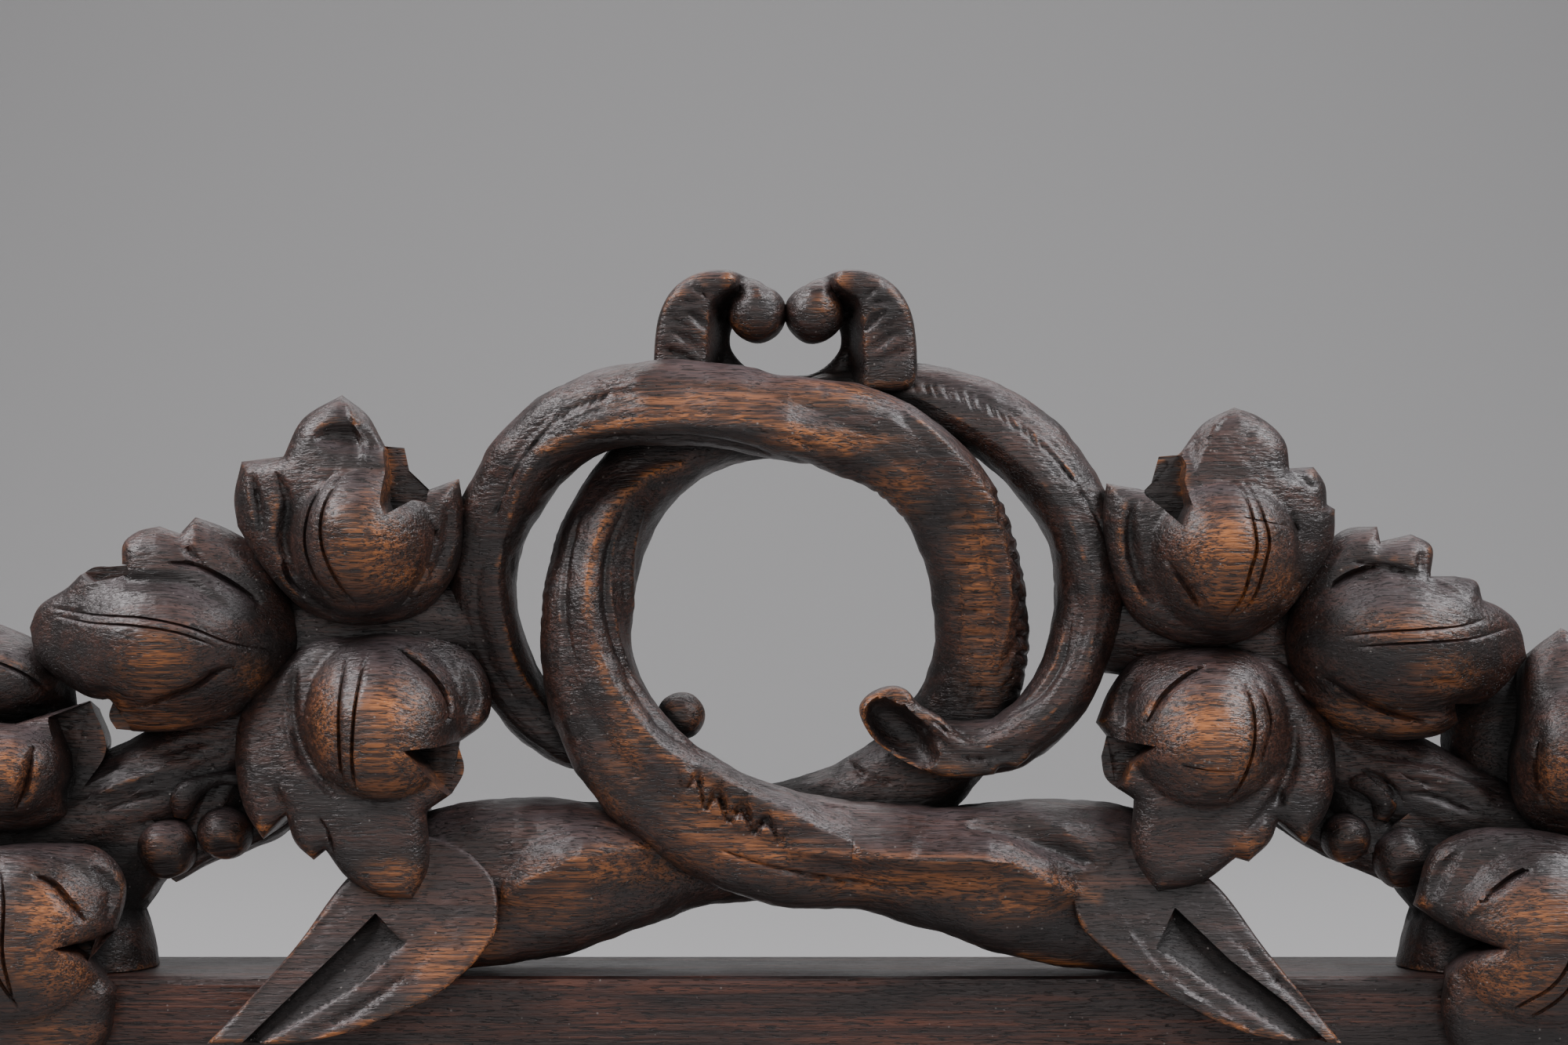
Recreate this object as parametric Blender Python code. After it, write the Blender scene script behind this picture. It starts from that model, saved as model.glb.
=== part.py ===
"""Openwork carved oak crest, standing on a plain rail and coming down in front of it.

Two vine branches cross and form a ring. Each starts in a thick cut end low at one side, runs round the
ring and ends in a scooped tip or a knob. Domed vine leaves, berries and stems stand at both sides, and two
curls with round ends on top.

Sizes are in millimetres and MM turns them to metres. X runs along the rail, Z up, and the front faces -Y.
Depth is measured forward from the flat back of the crest and of the rail.
"""

import math

import bmesh
import bpy
import numpy as np
from mathutils import Vector
from mathutils.geometry import delaunay_2d_cdt

MM = 0.001

# Rail
RAIL_LENGTH = 380.0
RAIL_DEPTH = 30.0
RAIL_HEIGHT = 28.0
RAIL_EDGE = 1.5
SEAT_GAP = 0.3

# Ring of the two branches
RING_HEIGHT = 100.0
BRANCH_DEPTH = 21.0
TRUNK_DEPTH = 33.0
RIDGE = 0.10
CHANNEL = 0.07
RIDGE_WIDTH = math.radians(15)
CHANNEL_PLACE = math.radians(36)
SECTION_SIDES = 14
SECTION_POWER = 2.5

# Along a branch that starts low at the left: degrees round the ring, radius and width
BRANCH_COURSE = (
    (-143, 95, 31),
    (-139, 83, 33.5),
    (-132, 71.2, 31.8),
    (-122, 60, 25.2),
    (-108, 50.7, 21.6),
    (-90, 46.3, 23),
    (-65, 43.3, 22.5),
    (-40, 41.8, 21.3),
    (-16, 41.2, 19),
    (8, 40, 18),
    (30, 40.5, 17.5),
    (50, 41, 17),
    (70, 40.8, 16.5),
    (90, 40.3, 16),
    (106, 44.4, 16.5),
    (122, 51, 16.5),
    (139, 58.3, 16),
    (154, 61.4, 15.6),
    (170, 62.4, 14.2),
    (183, 60.6, 13),
    (197, 57, 12),
    (207, 52.5, 11.5),
    (214, 47, 11.5),
    (219, 40.5, 9),
)
# How far forward the middle of each branch lies, by degrees round the ring
FRONT_START_DEPTH = (
    (-143, 22), (-120, 24), (-90, 29), (-40, 27), (8, 22), (50, 15), (90, 11), (122, 13), (165, 19),
    (198, 25), (219, 25),
)
BACK_START_DEPTH = (
    (-143, 22), (-120, 19), (-90, 11), (-40, 12), (8, 20), (50, 27), (90, 29), (122, 27), (165, 20),
    (198, 13), (219, 12),
)
# How far the front ridge of a branch is turned towards the middle of the ring, in degrees
RIDGE_TURN = ((-143, 30), (-120, 35), (-60, 32), (-20, 20), (10, 8), (50, 0), (219, 0))
BRANCH_THICKNESS = (
    (-143, 20), (-134, 29), (-127, TRUNK_DEPTH), (-105, BRANCH_DEPTH), (150, BRANCH_DEPTH), (180, 17), (219, 12),
)

# Scooped tip of the branch in front: its outline in x and z, its depth, and its bowl
HOOK = (
    (14.8, 82.6), (16.6, 84.7), (19.6, 86.1), (23.6, 86.1), (27.7, 83.9), (31.7, 81.5), (35.3, 78.2),
    (39.8, 77.4), (44.8, 77.9), (47.9, 74.8), (45.2, 70.2), (41.9, 69.2), (36.8, 68.3), (33.1, 68.8), (28, 70.6),
    (22.1, 73.1), (18, 76.4), (15.8, 79.8),
)
HOOK_DEPTH = 33.0
HOOK_BACK = 24.0
HOOK_SLOPE = 0.12
HOOK_BOWL = (22.8, 78.5, 7.5, 3.6)
HOOK_BOWL_TURN = math.radians(-38)
HOOK_BOWL_DEPTH = 4.0

# Left upper curl, and its mirror image: its outline in x and height above the ring's middle
CURL = (
    (-26.6, 49.9), (-26.3, 56.1), (-25.2, 61.7), (-22.4, 66.4), (-18.4, 69.1), (-13.7, 70.2), (-9, 69.5),
    (-4.7, 67.6), (-2.2, 64.8), (-2.5, 61.4), (-6, 59.4), (-10.6, 59.6), (-11.3, 55), (-9.3, 51.9),
    (-5.8, 49.5), (0.5, 48.1), (0.5, 44), (-14, 45.3), (-26.4, 48),
)
# Middle line of the curl's raised band
CURL_BAND = ((-20.2, 44), (-20.6, 54), (-19, 61), (-15.2, 65.2), (-10.5, 66.2))
CURL_BACK = 10.5
CURL_LEVEL = 18.0
CURL_RISE = 10.0
CURL_HALF_WIDTH = 9.0
CURL_BALL = (-5.75, 61.3)
CURL_BALL_RADIUS = 5.95
CURL_BALL_DEPTH = 22.5

# Leaves
LOWEST_DOME = -0.4
SHARP_ANGLE = math.radians(40)
RIM_ROUND = 7.0
RIM_RISE = 6.5
RIM_WALL = 3.5
WALL_SLANT = 0.965
BACK_SHARE = 0.74
VEIN_APART = 1.3
VEIN_HALF_WIDTH = 0.8
VEIN_DEPTH = 0.9
GOUGE_HALF_WIDTH = 1.5
GOUGE_DEPTH = 2.0
CREASE_HALF_WIDTH = 1.8
CREASE_DEPTH = 1.8
CREASE_REACH = 0.5

# How finely the surfaces are faceted
CUT_OUTLINE_STEP = 6.0
CUT_FRONT_STEP = 12.0
BALL_SIDES = 12
BALL_ROWS = 7
OUTLINE_STEP = 6.5
FRONT_STEP = 9.5
GROOVE_STEPS = 3
RIM_RINGS = (2.4, 6.0)
BRANCH_STATIONS = 38
STEM_STATIONS = 8
STEM_SIDES = 8
SPROUT_STATIONS = 6
SPROUT_SIDES = 6
CURL_OUTLINE_STEP = 3.2
CURL_STEP = 5.0
HOOK_STEP = 4.0
# Least distances between the points of a front, as shares of their step
FROM_LINES = 0.3
FROM_RINGS = 0.4
RING_SPACE = 0.9
CUTTER_MARGIN = 10.0

OAK = (0.055, 0.022, 0.012, 1.0)
RAIL_OAK = (0.075, 0.022, 0.012, 1.0)

TIP = True
BEND = False


class Leaf:
    """A domed leaf: its middle, its outline about that middle, and the cuts in it."""

    def __init__(self, middle, rim, dome, outline, midrib=(), gouges=(), lean=(0.0, 0.0), back=0.5):
        self.middle = np.array(middle, float)
        self.rim = rim
        self.dome = dome
        self.outline = outline
        self.midrib = midrib
        self.gouges = gouges
        self.lean = np.array(lean, float)
        self.back = back


LEAVES = {
    "left_upper": Leaf(
        (-86, 117), 28, 10,
        ((-3, 28, TIP), (2.5, 23.5, BEND), (6, 17.5, TIP), (9.5, 17, TIP), (11.5, 7.5, TIP),
         (20.5, 11, TIP),
         (21.5, 3, BEND), (19, -9.5, BEND), (13.5, -15.5, BEND), (3, -18.5, BEND), (-9.5, -16, BEND),
         (-17.5, -8.5, BEND), (-24, 1.5, TIP), (-25, 6.5, BEND), (-23.5, 14.5, TIP), (-14.5, 15.5, TIP),
         (-11, 23, BEND)),
        midrib=((-5, 11), (-9.8, 2.8), (-7.7, -6.8), (-0.3, -15)),
        gouges=(((15.4, 2.8), (13.4, -6.8), (9.3, -13.5)), ((-14.6, -3.4), (-14, -7), (-11.2, -11.5))),
    ),
    "left_lower": Leaf(
        (-83.5, 77), 29, 10,
        ((0, 21, BEND), (18, 18.5, BEND), (24, 10, BEND), (24, 3.5, BEND), (18, -2, TIP), (19, -7.5, BEND),
         (16.5, -12, TIP), (12, -15.5, TIP), (12, -27, BEND), (9.5, -34, TIP), (1.5, -32.5, BEND),
         (-4, -29, BEND),
         (-8.5, -23, TIP), (-11, -25.5, TIP), (-14.5, -22, BEND), (-16, -16.5, TIP), (-21, -21, TIP),
         (-24.5, -16.5, BEND), (-26.5, -9, BEND), (-25.5, 3.5, BEND), (-19, 13.5, BEND),
         (-11, 19.5, BEND)),
        midrib=((0, 17.6), (-2.7, 6.1), (-3.2, -4), (-2.7, -11.7)),
        gouges=(((5.5, 17), (12.4, 10.2), (15.4, 3.3)),),
        lean=(0, -0.25),
    ),
    "left_outer": Leaf(
        (-126, 97), 26, 9,
        ((-27, 1, TIP), (-25.5, 4.5, BEND), (-18.5, 9, BEND), (-14, 13, BEND), (-7, 12.5, TIP),
         (-7, 18, BEND),
         (-4.5, 20, BEND), (0, 21, TIP), (4.5, 19.5, TIP), (7, 23, TIP), (12.5, 21, BEND),
         (19.5, 16.5, BEND),
         (25.5, 7, BEND), (28, -2.5, BEND), (23, -11, BEND), (16.5, -16.5, BEND), (9.5, -19, BEND),
         (-2, -20, BEND),
         (-9, -19.5, TIP), (-10.5, -17.5, BEND), (-9.5, -13.5, TIP), (-14, -13.5, BEND),
         (-18.5, -11, BEND),
         (-25.5, -5.5, BEND)),
        midrib=((-22, 4.7), (-9.1, 2), (4.7, 0.2), (16.2, -3.6)),
        gouges=(((0, 13.5), (9.3, 12.1), (18.6, 6.6)), ((14.3, -6.8), (6.9, -11), (-4.6, -15.1))),
    ),
    "left_far": Leaf(
        (-155, 68.5), 27, 9,
        ((1, 10, TIP), (14.5, 14.5, TIP), (17.5, 4.5, BEND), (13, -3.5, BEND), (9.5, -9, BEND),
         (-3, -11.5, BEND),
         (-11, -9.5, BEND), (-18, -4, TIP), (-16.5, 4, BEND), (-11, 9.5, BEND)),
        gouges=(((4, 5), (3.5, -1), (0.8, -6.6)),),
    ),
    "left_far_upper": Leaf(
        (-163, 86.5), 18, 9,
        ((20, -5.5, TIP), (18.5, 3, BEND), (11, 9.5, BEND), (5, 12, TIP), (-5, 13, BEND), (-13, 9.5, TIP),
         (-12, 0, BEND), (-5, -9.5, BEND), (11, -12, BEND)),
        midrib=((-7, 6), (0, 3), (7, -1), (13, -6)),
    ),
    "left_low": Leaf(
        (-157, 35.5), 33, 8,
        ((1, 19, BEND), (10, 19.5, BEND), (21, 18, BEND), (25.5, 12.5, BEND), (25, 5.5, BEND),
         (24, 2, TIP),
         (17.5, -0.5, TIP), (21, -6, BEND), (24, -9.5, TIP), (22.5, -18.5, BEND), (16.5, -27.5, TIP),
         (9.5, -26, TIP), (3, -32, TIP), (-7, -27.5, BEND), (-14, -17, TIP), (-18.5, -20.5, TIP),
         (-24, -8, BEND),
         (-24, 6, BEND), (-15, 16.5, BEND)),
        midrib=((-5, 15), (-1, 5), (1.4, -3.3), (4.7, -13)),
        gouges=(((7.4, 13.4), (13.5, 9.3), (18, 4)),),
    ),
    "right_upper": Leaf(
        (88, 115), 28, 10,
        ((2, 27, TIP), (-4, 24, BEND), (-9.5, 17.5, TIP), (-13, 17, TIP), (-15, 10, TIP),
         (-23.5, 11.5, TIP),
         (-24.5, 6.5, BEND), (-23, -4.5, BEND), (-17, -16.5, BEND), (-10, -20, BEND), (-0.5, -21, BEND),
         (9, -17.5, BEND), (16, -9.5, BEND), (22, 0, BEND), (22.5, 6.5, TIP), (20.5, 11.5, BEND),
         (18, 15, TIP),
         (13, 14.5, TIP), (12.5, 19.5, BEND), (7, 25, BEND)),
        midrib=((2.7, 12), (8, 3.5), (7.4, -4.6), (1.4, -15.1)),
        gouges=(((-11.2, -5.8), (-9.4, -9.8), (-5.8, -13.2)), ((17, 3), (15, -4), (11, -10))),
    ),
    "right_lower": Leaf(
        (86, 75), 29, 10,
        ((4, 19.5, BEND), (-8, 18.5, BEND), (-15, 17, BEND), (-21, 10, BEND), (-24, 4, TIP), (-22, 1, TIP),
         (-23, -3, TIP), (-22, -7, BEND), (-16.5, -11.5, TIP), (-16.5, -22.5, BEND), (-12, -31, TIP),
         (-2, -28, BEND),
         (4, -23, TIP), (6.5, -24, TIP), (11, -19.5, BEND), (12, -16, TIP), (18, -20.5, TIP),
         (23, -13.5, BEND),
         (24, -4, BEND), (20.5, 8.5, BEND), (14, 15.5, BEND)),
        midrib=((5.4, 12.4), (7.9, 3.8), (7.2, -2.8), (2.7, -12.1)),
        gouges=(((-2.7, 13.7), (-8.5, 11), (-12, 5.8)),),
        lean=(0, -0.25),
    ),
    "right_outer": Leaf(
        (126, 96), 26, 9,
        ((24, -4.5, TIP), (22, 2.5, BEND), (17.5, 6, BEND), (13.5, 7.5, TIP), (13, 11, BEND),
         (8, 12.5, TIP),
         (3, 12.5, TIP), (4, 18.5, BEND), (0, 20.5, TIP), (-6.5, 19.5, TIP), (-7, 22.5, TIP),
         (-12.5, 22, BEND),
         (-19.5, 15.5, BEND), (-23.5, 6.5, BEND), (-25.5, -1.5, BEND), (-23, -10.5, BEND),
         (-19.5, -16, BEND),
         (-10.5, -19.5, BEND), (-1.5, -20.5, BEND), (7, -19, BEND), (9.5, -17, TIP), (8, -13.5, TIP),
         (14.5, -13, BEND), (19.5, -9, BEND)),
        midrib=((-14.3, -0.6), (-5, 0.5), (3.9, 0.9), (19.7, 2)),
        gouges=(((-15.9, 9.9), (-10, 13), (-4.4, 14.3)), ((-16.8, -8.3), (-6.5, -14.2), (3.9, -17.3))),
    ),
    "right_far": Leaf(
        (159.5, 74.5), 28, 9,
        ((-3.5, 22, TIP), (-9.5, 18.5, BEND), (-12, 4.5, BEND), (-14, -4, BEND), (-13, -12, BEND),
         (-6.5, -18.5, BEND),
         (1, -21.5, BEND), (10, -17.5, TIP), (12.5, -8, BEND), (15, 1.5, TIP), (10, 8, TIP),
         (11, 15.5, TIP),
         (4, 19.5, TIP)),
        midrib=((3, 15), (5, 5), (5, -4), (2, -14)),
        gouges=(((-8, 2.8), (-7, -7), (-4.4, -14.3)),),
    ),
    "right_low": Leaf(
        (156, 35), 33, 8,
        ((-10, 23.5, BEND), (-20.5, 22.5, BEND), (-26, 19.5, BEND), (-31, 8, TIP), (-24, 3.5, BEND),
         (-15.5, 0.5, TIP), (-21, -2, BEND), (-24.5, -5.5, TIP), (-25.5, -13.5, BEND), (-22, -22.5, BEND),
         (-15.5, -28, TIP), (-9.5, -24, TIP), (-2.5, -31, TIP), (8, -26, BEND), (14, -16.5, TIP),
         (19.5, -18.5, TIP),
         (25, -5.5, BEND), (25, 7, BEND), (17, 17, BEND), (3, 21, BEND)),
        midrib=((6, 14), (3, 3), (-1.6, -6.5), (-12, -13)),
        gouges=(((-7.9, 15), (-14, 12), (-18.7, 6.9)),),
    ),
}

# Obliquely cut branch ends: outline of the cut face, and the split down its middle
LEFT_CUT = (
    (-112.9, 17.3), (-97, 34.8), (-86.3, 49.1), (-78, 56), (-66.4, 55), (-58.1, 48), (-57, 39.6), (-66, 28.1),
    (-78, 22), (-92, 17.9)
)
LEFT_SPLIT = ((-74, 42.5), (-80, 36), (-92, 26), (-105, 18.2))
RIGHT_CUT = (
    (108.5, 17.4), (95.2, 34.1), (83.5, 48.8), (74, 54), (64, 54), (57, 48), (58, 40), (65, 33), (78, 24.5),
    (92, 18.8)
)
RIGHT_SPLIT = ((73, 42.5), (80, 34), (91, 26.5), (103, 19))
CUT_FRONT = 46.0
CUT_LEAN = 0.36
CUT_WALLS = ((0.94, 31.0), (0.9, 6.0))
SPLIT_HALF_WIDTH = 3.6
SPLIT_DEPTH = 5.0

# Stems behind the leaves, then the small sprouts: x, z, depth of the middle, and width
STEMS = (
    ((-56, 98, 14, 18), (-72, 99, 14, 24), (-94, 96, 14, 28), (-112, 78, 13, 22), (-128, 66, 14, 21),
     (-140, 60, 15, 22), (-163, 48, 16, 20)),
    ((56, 98, 14, 18), (72, 99, 14, 24), (94, 96, 14, 28), (110, 76, 13, 22), (133, 62, 14, 21),
     (146, 56, 15, 22), (163, 48, 16, 20)),
    ((-130, 60, 12, 22), (-137.5, 50, 13, 22), (-144, 40, 14, 23), (-142, 33, 14.5, 24), (-141, 24, 15, 26)),
    ((126, 60, 12, 22), (134.5, 50, 13, 22), (140.5, 40, 14, 23.4), (139, 33, 14.5, 25), (138, 24, 15, 26)),
    ((-160, 60, 10, 16), (-163, 72, 10, 18), (-163, 86, 10, 16)),
    ((158, 60, 9, 20), (149.5, 71, 9, 26), (150, 81, 8, 23.5), (154, 91, 8, 9)),
    ((-112, 72, 14, 12), (-117, 62, 15, 13), (-120, 53, 16, 11)),
    ((112, 72, 14, 12), (117, 62, 15, 13), (121, 53, 16, 13)),
    ((-101, 63, 14, 10), (-108.5, 58, 14, 10.5), (-114, 55.6, 15, 10), (-120, 53.5, 16, 10),
     (-127, 49.5, 15, 10)),
    ((100, 63, 14, 10), (108, 58, 14, 10.5), (114, 54.8, 15, 11), (121, 52, 16, 11), (129, 49, 15, 12)),
)
STEM_DEPTH = 24.0
SPROUTS = (
    ((-122.8, 59, 21, 3.2), (-122.2, 62.2, 22.5, 5), (-120.4, 64.8, 23, 4.8), (-117, 66.6, 22.5, 3.8),
     (-110, 67.2, 21, 2.4)),
    ((120.6, 58.8, 21, 3.2), (121.3, 62, 22.5, 5), (119.2, 65.2, 23, 4.8), (116, 66.6, 22.5, 3.8),
     (112.8, 67, 21, 2.4)),
)

# Berries: x, z, depth of the middle, radius
BERRIES = ((-114, 55.9, 20, 5.6), (-125.4, 52.8, 21, 6.2), (113.9, 55, 20, 5.2), (125.1, 51, 21, 6.2))
KNOB = (-21.2, 79.6, 19, 4.9)


def smooth_course(keys, count):
    """Points along a smooth curve through the keys, evenly spaced by key distance."""
    keys = np.array(keys, float)
    steps = np.linalg.norm(np.diff(keys[:, :2], axis=0), axis=1)
    at = np.concatenate([[0.0], np.cumsum(np.maximum(steps, 1e-6))])
    slope = np.gradient(keys, at, axis=0)
    where = np.linspace(0, at[-1], count)
    place = np.clip(np.searchsorted(at, where, side="right") - 1, 0, len(at) - 2)
    span = (at[place + 1] - at[place])[:, None]
    t = (where[:, None] - at[place][:, None]) / span
    start, end = keys[place], keys[place + 1]
    start_slope, end_slope = slope[place] * span, slope[place + 1] * span
    return (
        (2 * t**3 - 3 * t**2 + 1) * start
        + (t**3 - 2 * t**2 + t) * start_slope
        + (3 * t**2 - 2 * t**3) * end
        + (t**3 - t**2) * end_slope
    )


def outline_points(corners, step):
    """A closed outline: sharp at each TIP, and one smooth curve through the bends between two tips."""
    tips = [i for i, corner in enumerate(corners) if corner[2]] or [0]
    points = []
    for first, last in zip(tips, tips[1:] + [tips[0] + len(corners)]):
        run = np.array([corners[i % len(corners)][:2] for i in range(first, last + 1)], float)
        length = np.linalg.norm(np.diff(run, axis=0), axis=1).sum()
        count = max(len(run) if length > step else 2, round(length / step) + 1)
        points.append(smooth_course(run, count)[:-1])
    return np.concatenate(points)


def facing_forward(outline):
    """The outline in the order that turns its face to the front."""
    x, z = outline[:, 0], outline[:, 1]
    area = (x * np.roll(z, -1) - np.roll(x, -1) * z).sum()
    return outline if area > 0 else outline[::-1]


def nearest_on(line, points, closed=False):
    """For each point, its distance to a line and how far along the line that is, from 0 to 1."""
    ends = np.roll(line, -1, axis=0) if closed else line[1:]
    starts = line if closed else line[:-1]
    along = ends - starts
    length = np.maximum((along**2).sum(axis=1), 1e-12)
    t = np.clip(((points[:, None] - starts) * along).sum(axis=2) / length, 0, 1)
    gap = np.linalg.norm(points[:, None] - starts - t[..., None] * along, axis=2)
    best = gap.argmin(axis=1)
    rows = np.arange(len(points))
    return gap[rows, best], (best + t[rows, best]) / len(starts)


def inside(outline, points):
    """Which points lie inside a closed outline."""
    x, z = points[:, 0:1], points[:, 1:2]
    x0, z0 = outline[:, 0], outline[:, 1]
    x1, z1 = np.roll(x0, -1), np.roll(z0, -1)
    crosses = (z0 > z) != (z1 > z)
    rise = np.where(z1 == z0, 1e-9, z1 - z0)
    return (crosses & (x < x0 + (z - z0) / rise * (x1 - x0))).sum(axis=1) % 2 == 1


class Groove:
    """A V-shaped cut along a line: widest in its middle, or at its start where it opens at an edge."""

    def __init__(self, course, half_width, depth, opens=False):
        self.line = smooth_course(course, 2 * GROOVE_STEPS + 1)
        self.half_width = half_width
        self.depth = depth
        self.opens = opens

    def share(self, t):
        return (1 - t) ** 0.7 if self.opens else np.sin(np.pi * np.clip(t, 0, 1)) ** 0.6

    def cut(self, points):
        gap, t = nearest_on(self.line, points)
        share = self.share(t)
        return self.depth * share * np.clip(1 - gap / (self.half_width * share + 1e-6), 0, 1)

    def edges(self):
        """The bottom of the cut and its two sides."""
        t = np.linspace(0, 1, GROOVE_STEPS + 1)
        line = self.line[::2]
        along = np.gradient(line, axis=0)
        across = np.stack([-along[:, 1], along[:, 0]], axis=1) / np.linalg.norm(along, axis=1)[:, None]
        reach = (self.half_width * self.share(t))[:, None] * across
        ends = slice(0, None) if self.opens else slice(1, -1)
        return [line, (line + reach)[ends], (line - reach)[ends]]


def beside(line, distance):
    """The line moved sideways."""
    line = np.array(line, float)
    along = np.gradient(line, axis=0)
    across = np.stack([-along[:, 1], along[:, 0]], axis=1) / np.linalg.norm(along, axis=1)[:, None]
    return line + distance * across


def leaf_grooves(leaf):
    """The double midrib, the gouge cuts, and a crease that runs inward from each notch."""
    grooves = []
    if len(leaf.midrib):
        for side in (-VEIN_APART, VEIN_APART):
            grooves.append(Groove(beside(leaf.midrib, side), VEIN_HALF_WIDTH, VEIN_DEPTH))
    for gouge in leaf.gouges:
        grooves.append(Groove(gouge, GOUGE_HALF_WIDTH, GOUGE_DEPTH))
    corners = facing_forward(np.array([corner[:2] for corner in leaf.outline], float))
    sharp = {tuple(corner[:2]) for corner in leaf.outline if corner[2]}
    for i, corner in enumerate(corners):
        before, after = corner - corners[i - 1], corners[(i + 1) % len(corners)] - corner
        turn = before[0] * after[1] - before[1] * after[0]
        if turn < 0 and tuple(corner) in sharp:
            course = np.array([corner * share for share in np.linspace(1.0, CREASE_REACH, 3)])
            grooves.append(Groove(course, CREASE_HALF_WIDTH, CREASE_DEPTH, opens=True))
    return grooves


def leaf_front(leaf, outline, grooves):
    """How far forward the front of a leaf lies, at points about its middle."""
    reach = np.linalg.norm(outline, axis=1).mean()

    def depth(points):
        rim, _ = nearest_on(outline, points, closed=True)
        rounding = np.sqrt(1 - (1 - np.clip(rim / RIM_ROUND, 0, 1)) ** 2)
        dome = np.clip(1 - (np.linalg.norm(points, axis=1) / reach) ** 2, LOWEST_DOME, 1)
        forward = leaf.rim + RIM_RISE * rounding + leaf.dome * dome + points @ leaf.lean
        for groove in grooves:
            forward -= groove.cut(points)
        return forward

    return depth


def carved_face(outline, lines, spots):
    """A flat mesh over the outline, with an edge along each line. Returns its points and triangles."""
    points = [Vector(point) for point in outline]
    edges = []
    for line in lines:
        kept = [Vector(point) for point in line[inside(outline, line)]]
        edges += [(len(points) + i, len(points) + i + 1) for i in range(len(kept) - 1)]
        points += kept
    points += [Vector(spot) for spot in spots]
    made = delaunay_2d_cdt(points, edges, [list(range(len(outline)))], 1, 1e-4)
    return np.array([tuple(point) for point in made[0]]), [tuple(face) for face in made[2]]


def spots_inside(outline, step, rings):
    """Rings of points close behind the rim, and evenly spaced points further in."""
    along = np.roll(outline, -1, axis=0) - np.roll(outline, 1, axis=0)
    inward = np.stack([-along[:, 1], along[:, 0]], axis=1) / np.linalg.norm(along, axis=1)[:, None]
    spots = []
    for ring in rings:
        moved = outline + ring * inward
        gap, _ = nearest_on(outline, moved, closed=True)
        spots.append(moved[inside(outline, moved) & (gap > RING_SPACE * ring)])
    low, high = outline.min(axis=0), outline.max(axis=0)
    grid = []
    for row, z in enumerate(np.arange(low[1], high[1], step * math.sqrt(0.75))):
        x = np.arange(low[0] + (row % 2) * step / 2, high[0], step)
        grid.append(np.stack([x, np.full_like(x, z)], axis=1))
    grid = np.concatenate(grid)
    gap, _ = nearest_on(outline, grid, closed=True)
    spots.append(grid[inside(outline, grid) & (gap > (rings[-1] if rings else 0) + FROM_RINGS * step)])
    return np.concatenate(spots)


def apart(spots, lines, least):
    """The spots that keep a distance from every line."""
    for line in lines:
        gap, _ = nearest_on(line, spots)
        spots = spots[gap > least]
    return spots


def solid_object(name, mesh_maker):
    """A helper object whose mesh the maker fills in, in millimetres."""
    mesh = bpy.data.meshes.new(name)
    bm = bmesh.new()
    mesh_maker(bm)
    bm.to_mesh(mesh)
    bm.free()
    return bpy.data.objects.new(name, mesh)


def relief(name, middle, outline, lines, front, walls, step, rings):
    """A closed solid: a carved front over an outline, and walls that run back to a smaller flat back.

    Each wall is a share of the outline, and a depth or None for a little behind the rim.
    """
    outline = facing_forward(outline)
    spots = apart(spots_inside(outline, step, rings), lines, FROM_LINES * step)
    points, triangles = carved_face(outline, lines, spots)
    depth = front(points)
    directed = {(a, b) for face in triangles for a, b in zip(face, face[1:] + face[:1])}
    rim = [(a, b) for a, b in directed if (b, a) not in directed]

    def make(bm):
        def corner(point, forward):
            return bm.verts.new((middle[0] + point[0], -forward, middle[1] + point[1]))

        face_corners = [corner(point, forward) for point, forward in zip(points, depth)]
        for face in triangles:
            bm.faces.new([face_corners[i] for i in face])
        ring = {a: face_corners[a] for a, _ in rim}
        for share, back in walls:
            reach = {a: depth[a] - RIM_WALL if back is None else back for a in ring}
            behind = {a: corner(share * points[a], reach[a]) for a in ring}
            for a, b in rim:
                bm.faces.new([ring[b], ring[a], behind[a], behind[b]])
            ring = behind
        following = dict(rim)
        loop = [rim[0][0]]
        while following[loop[-1]] != loop[0]:
            loop.append(following[loop[-1]])
        bm.faces.new([ring[a] for a in reversed(loop)])

    return solid_object(name, make)


def leaf_object(name, leaf):
    outline = facing_forward(outline_points(leaf.outline, OUTLINE_STEP))
    grooves = leaf_grooves(leaf)
    lines = [line for groove in grooves for line in groove.edges()]
    walls = ((WALL_SLANT, None), (BACK_SHARE, leaf.back))
    front = leaf_front(leaf, outline, grooves)
    return relief(name, leaf.middle, outline, lines, front, walls, FRONT_STEP, RIM_RINGS)


def cut_end(name, outline, split):
    """The flat oblique cut across a branch, with the open split along its middle."""
    corners = [(x, z, TIP if i == 0 else BEND) for i, (x, z) in enumerate(outline)]
    outline = facing_forward(outline_points(corners, CUT_OUTLINE_STEP))
    middle = outline.mean(axis=0)
    groove = Groove(np.array(split) - middle, SPLIT_HALF_WIDTH, SPLIT_DEPTH)
    lowest = outline[:, 1].min() - middle[1]

    def front(points):
        rim, _ = nearest_on(outline - middle, points, closed=True)
        return CUT_FRONT - CUT_LEAN * (points[:, 1] - lowest) - groove.cut(points) * np.clip(rim, 0, 1)

    return relief(name, middle, outline - middle, groove.edges(), front, CUT_WALLS, CUT_FRONT_STEP, ())


def section(angle, ridge_at):
    """How far the side of a branch lies from its middle, as a share of half its width, by angle."""
    across, forward = abs(math.cos(angle)), abs(math.sin(angle))
    rounded = (across**SECTION_POWER + forward**SECTION_POWER) ** (-1 / SECTION_POWER)
    off = abs(angle - ridge_at)
    ridge = RIDGE * math.exp(-((off / RIDGE_WIDTH) ** 2))
    channel = CHANNEL * math.exp(-(((off - CHANNEL_PLACE) / RIDGE_WIDTH) ** 2))
    return rounded * (1 + ridge - channel)


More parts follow.
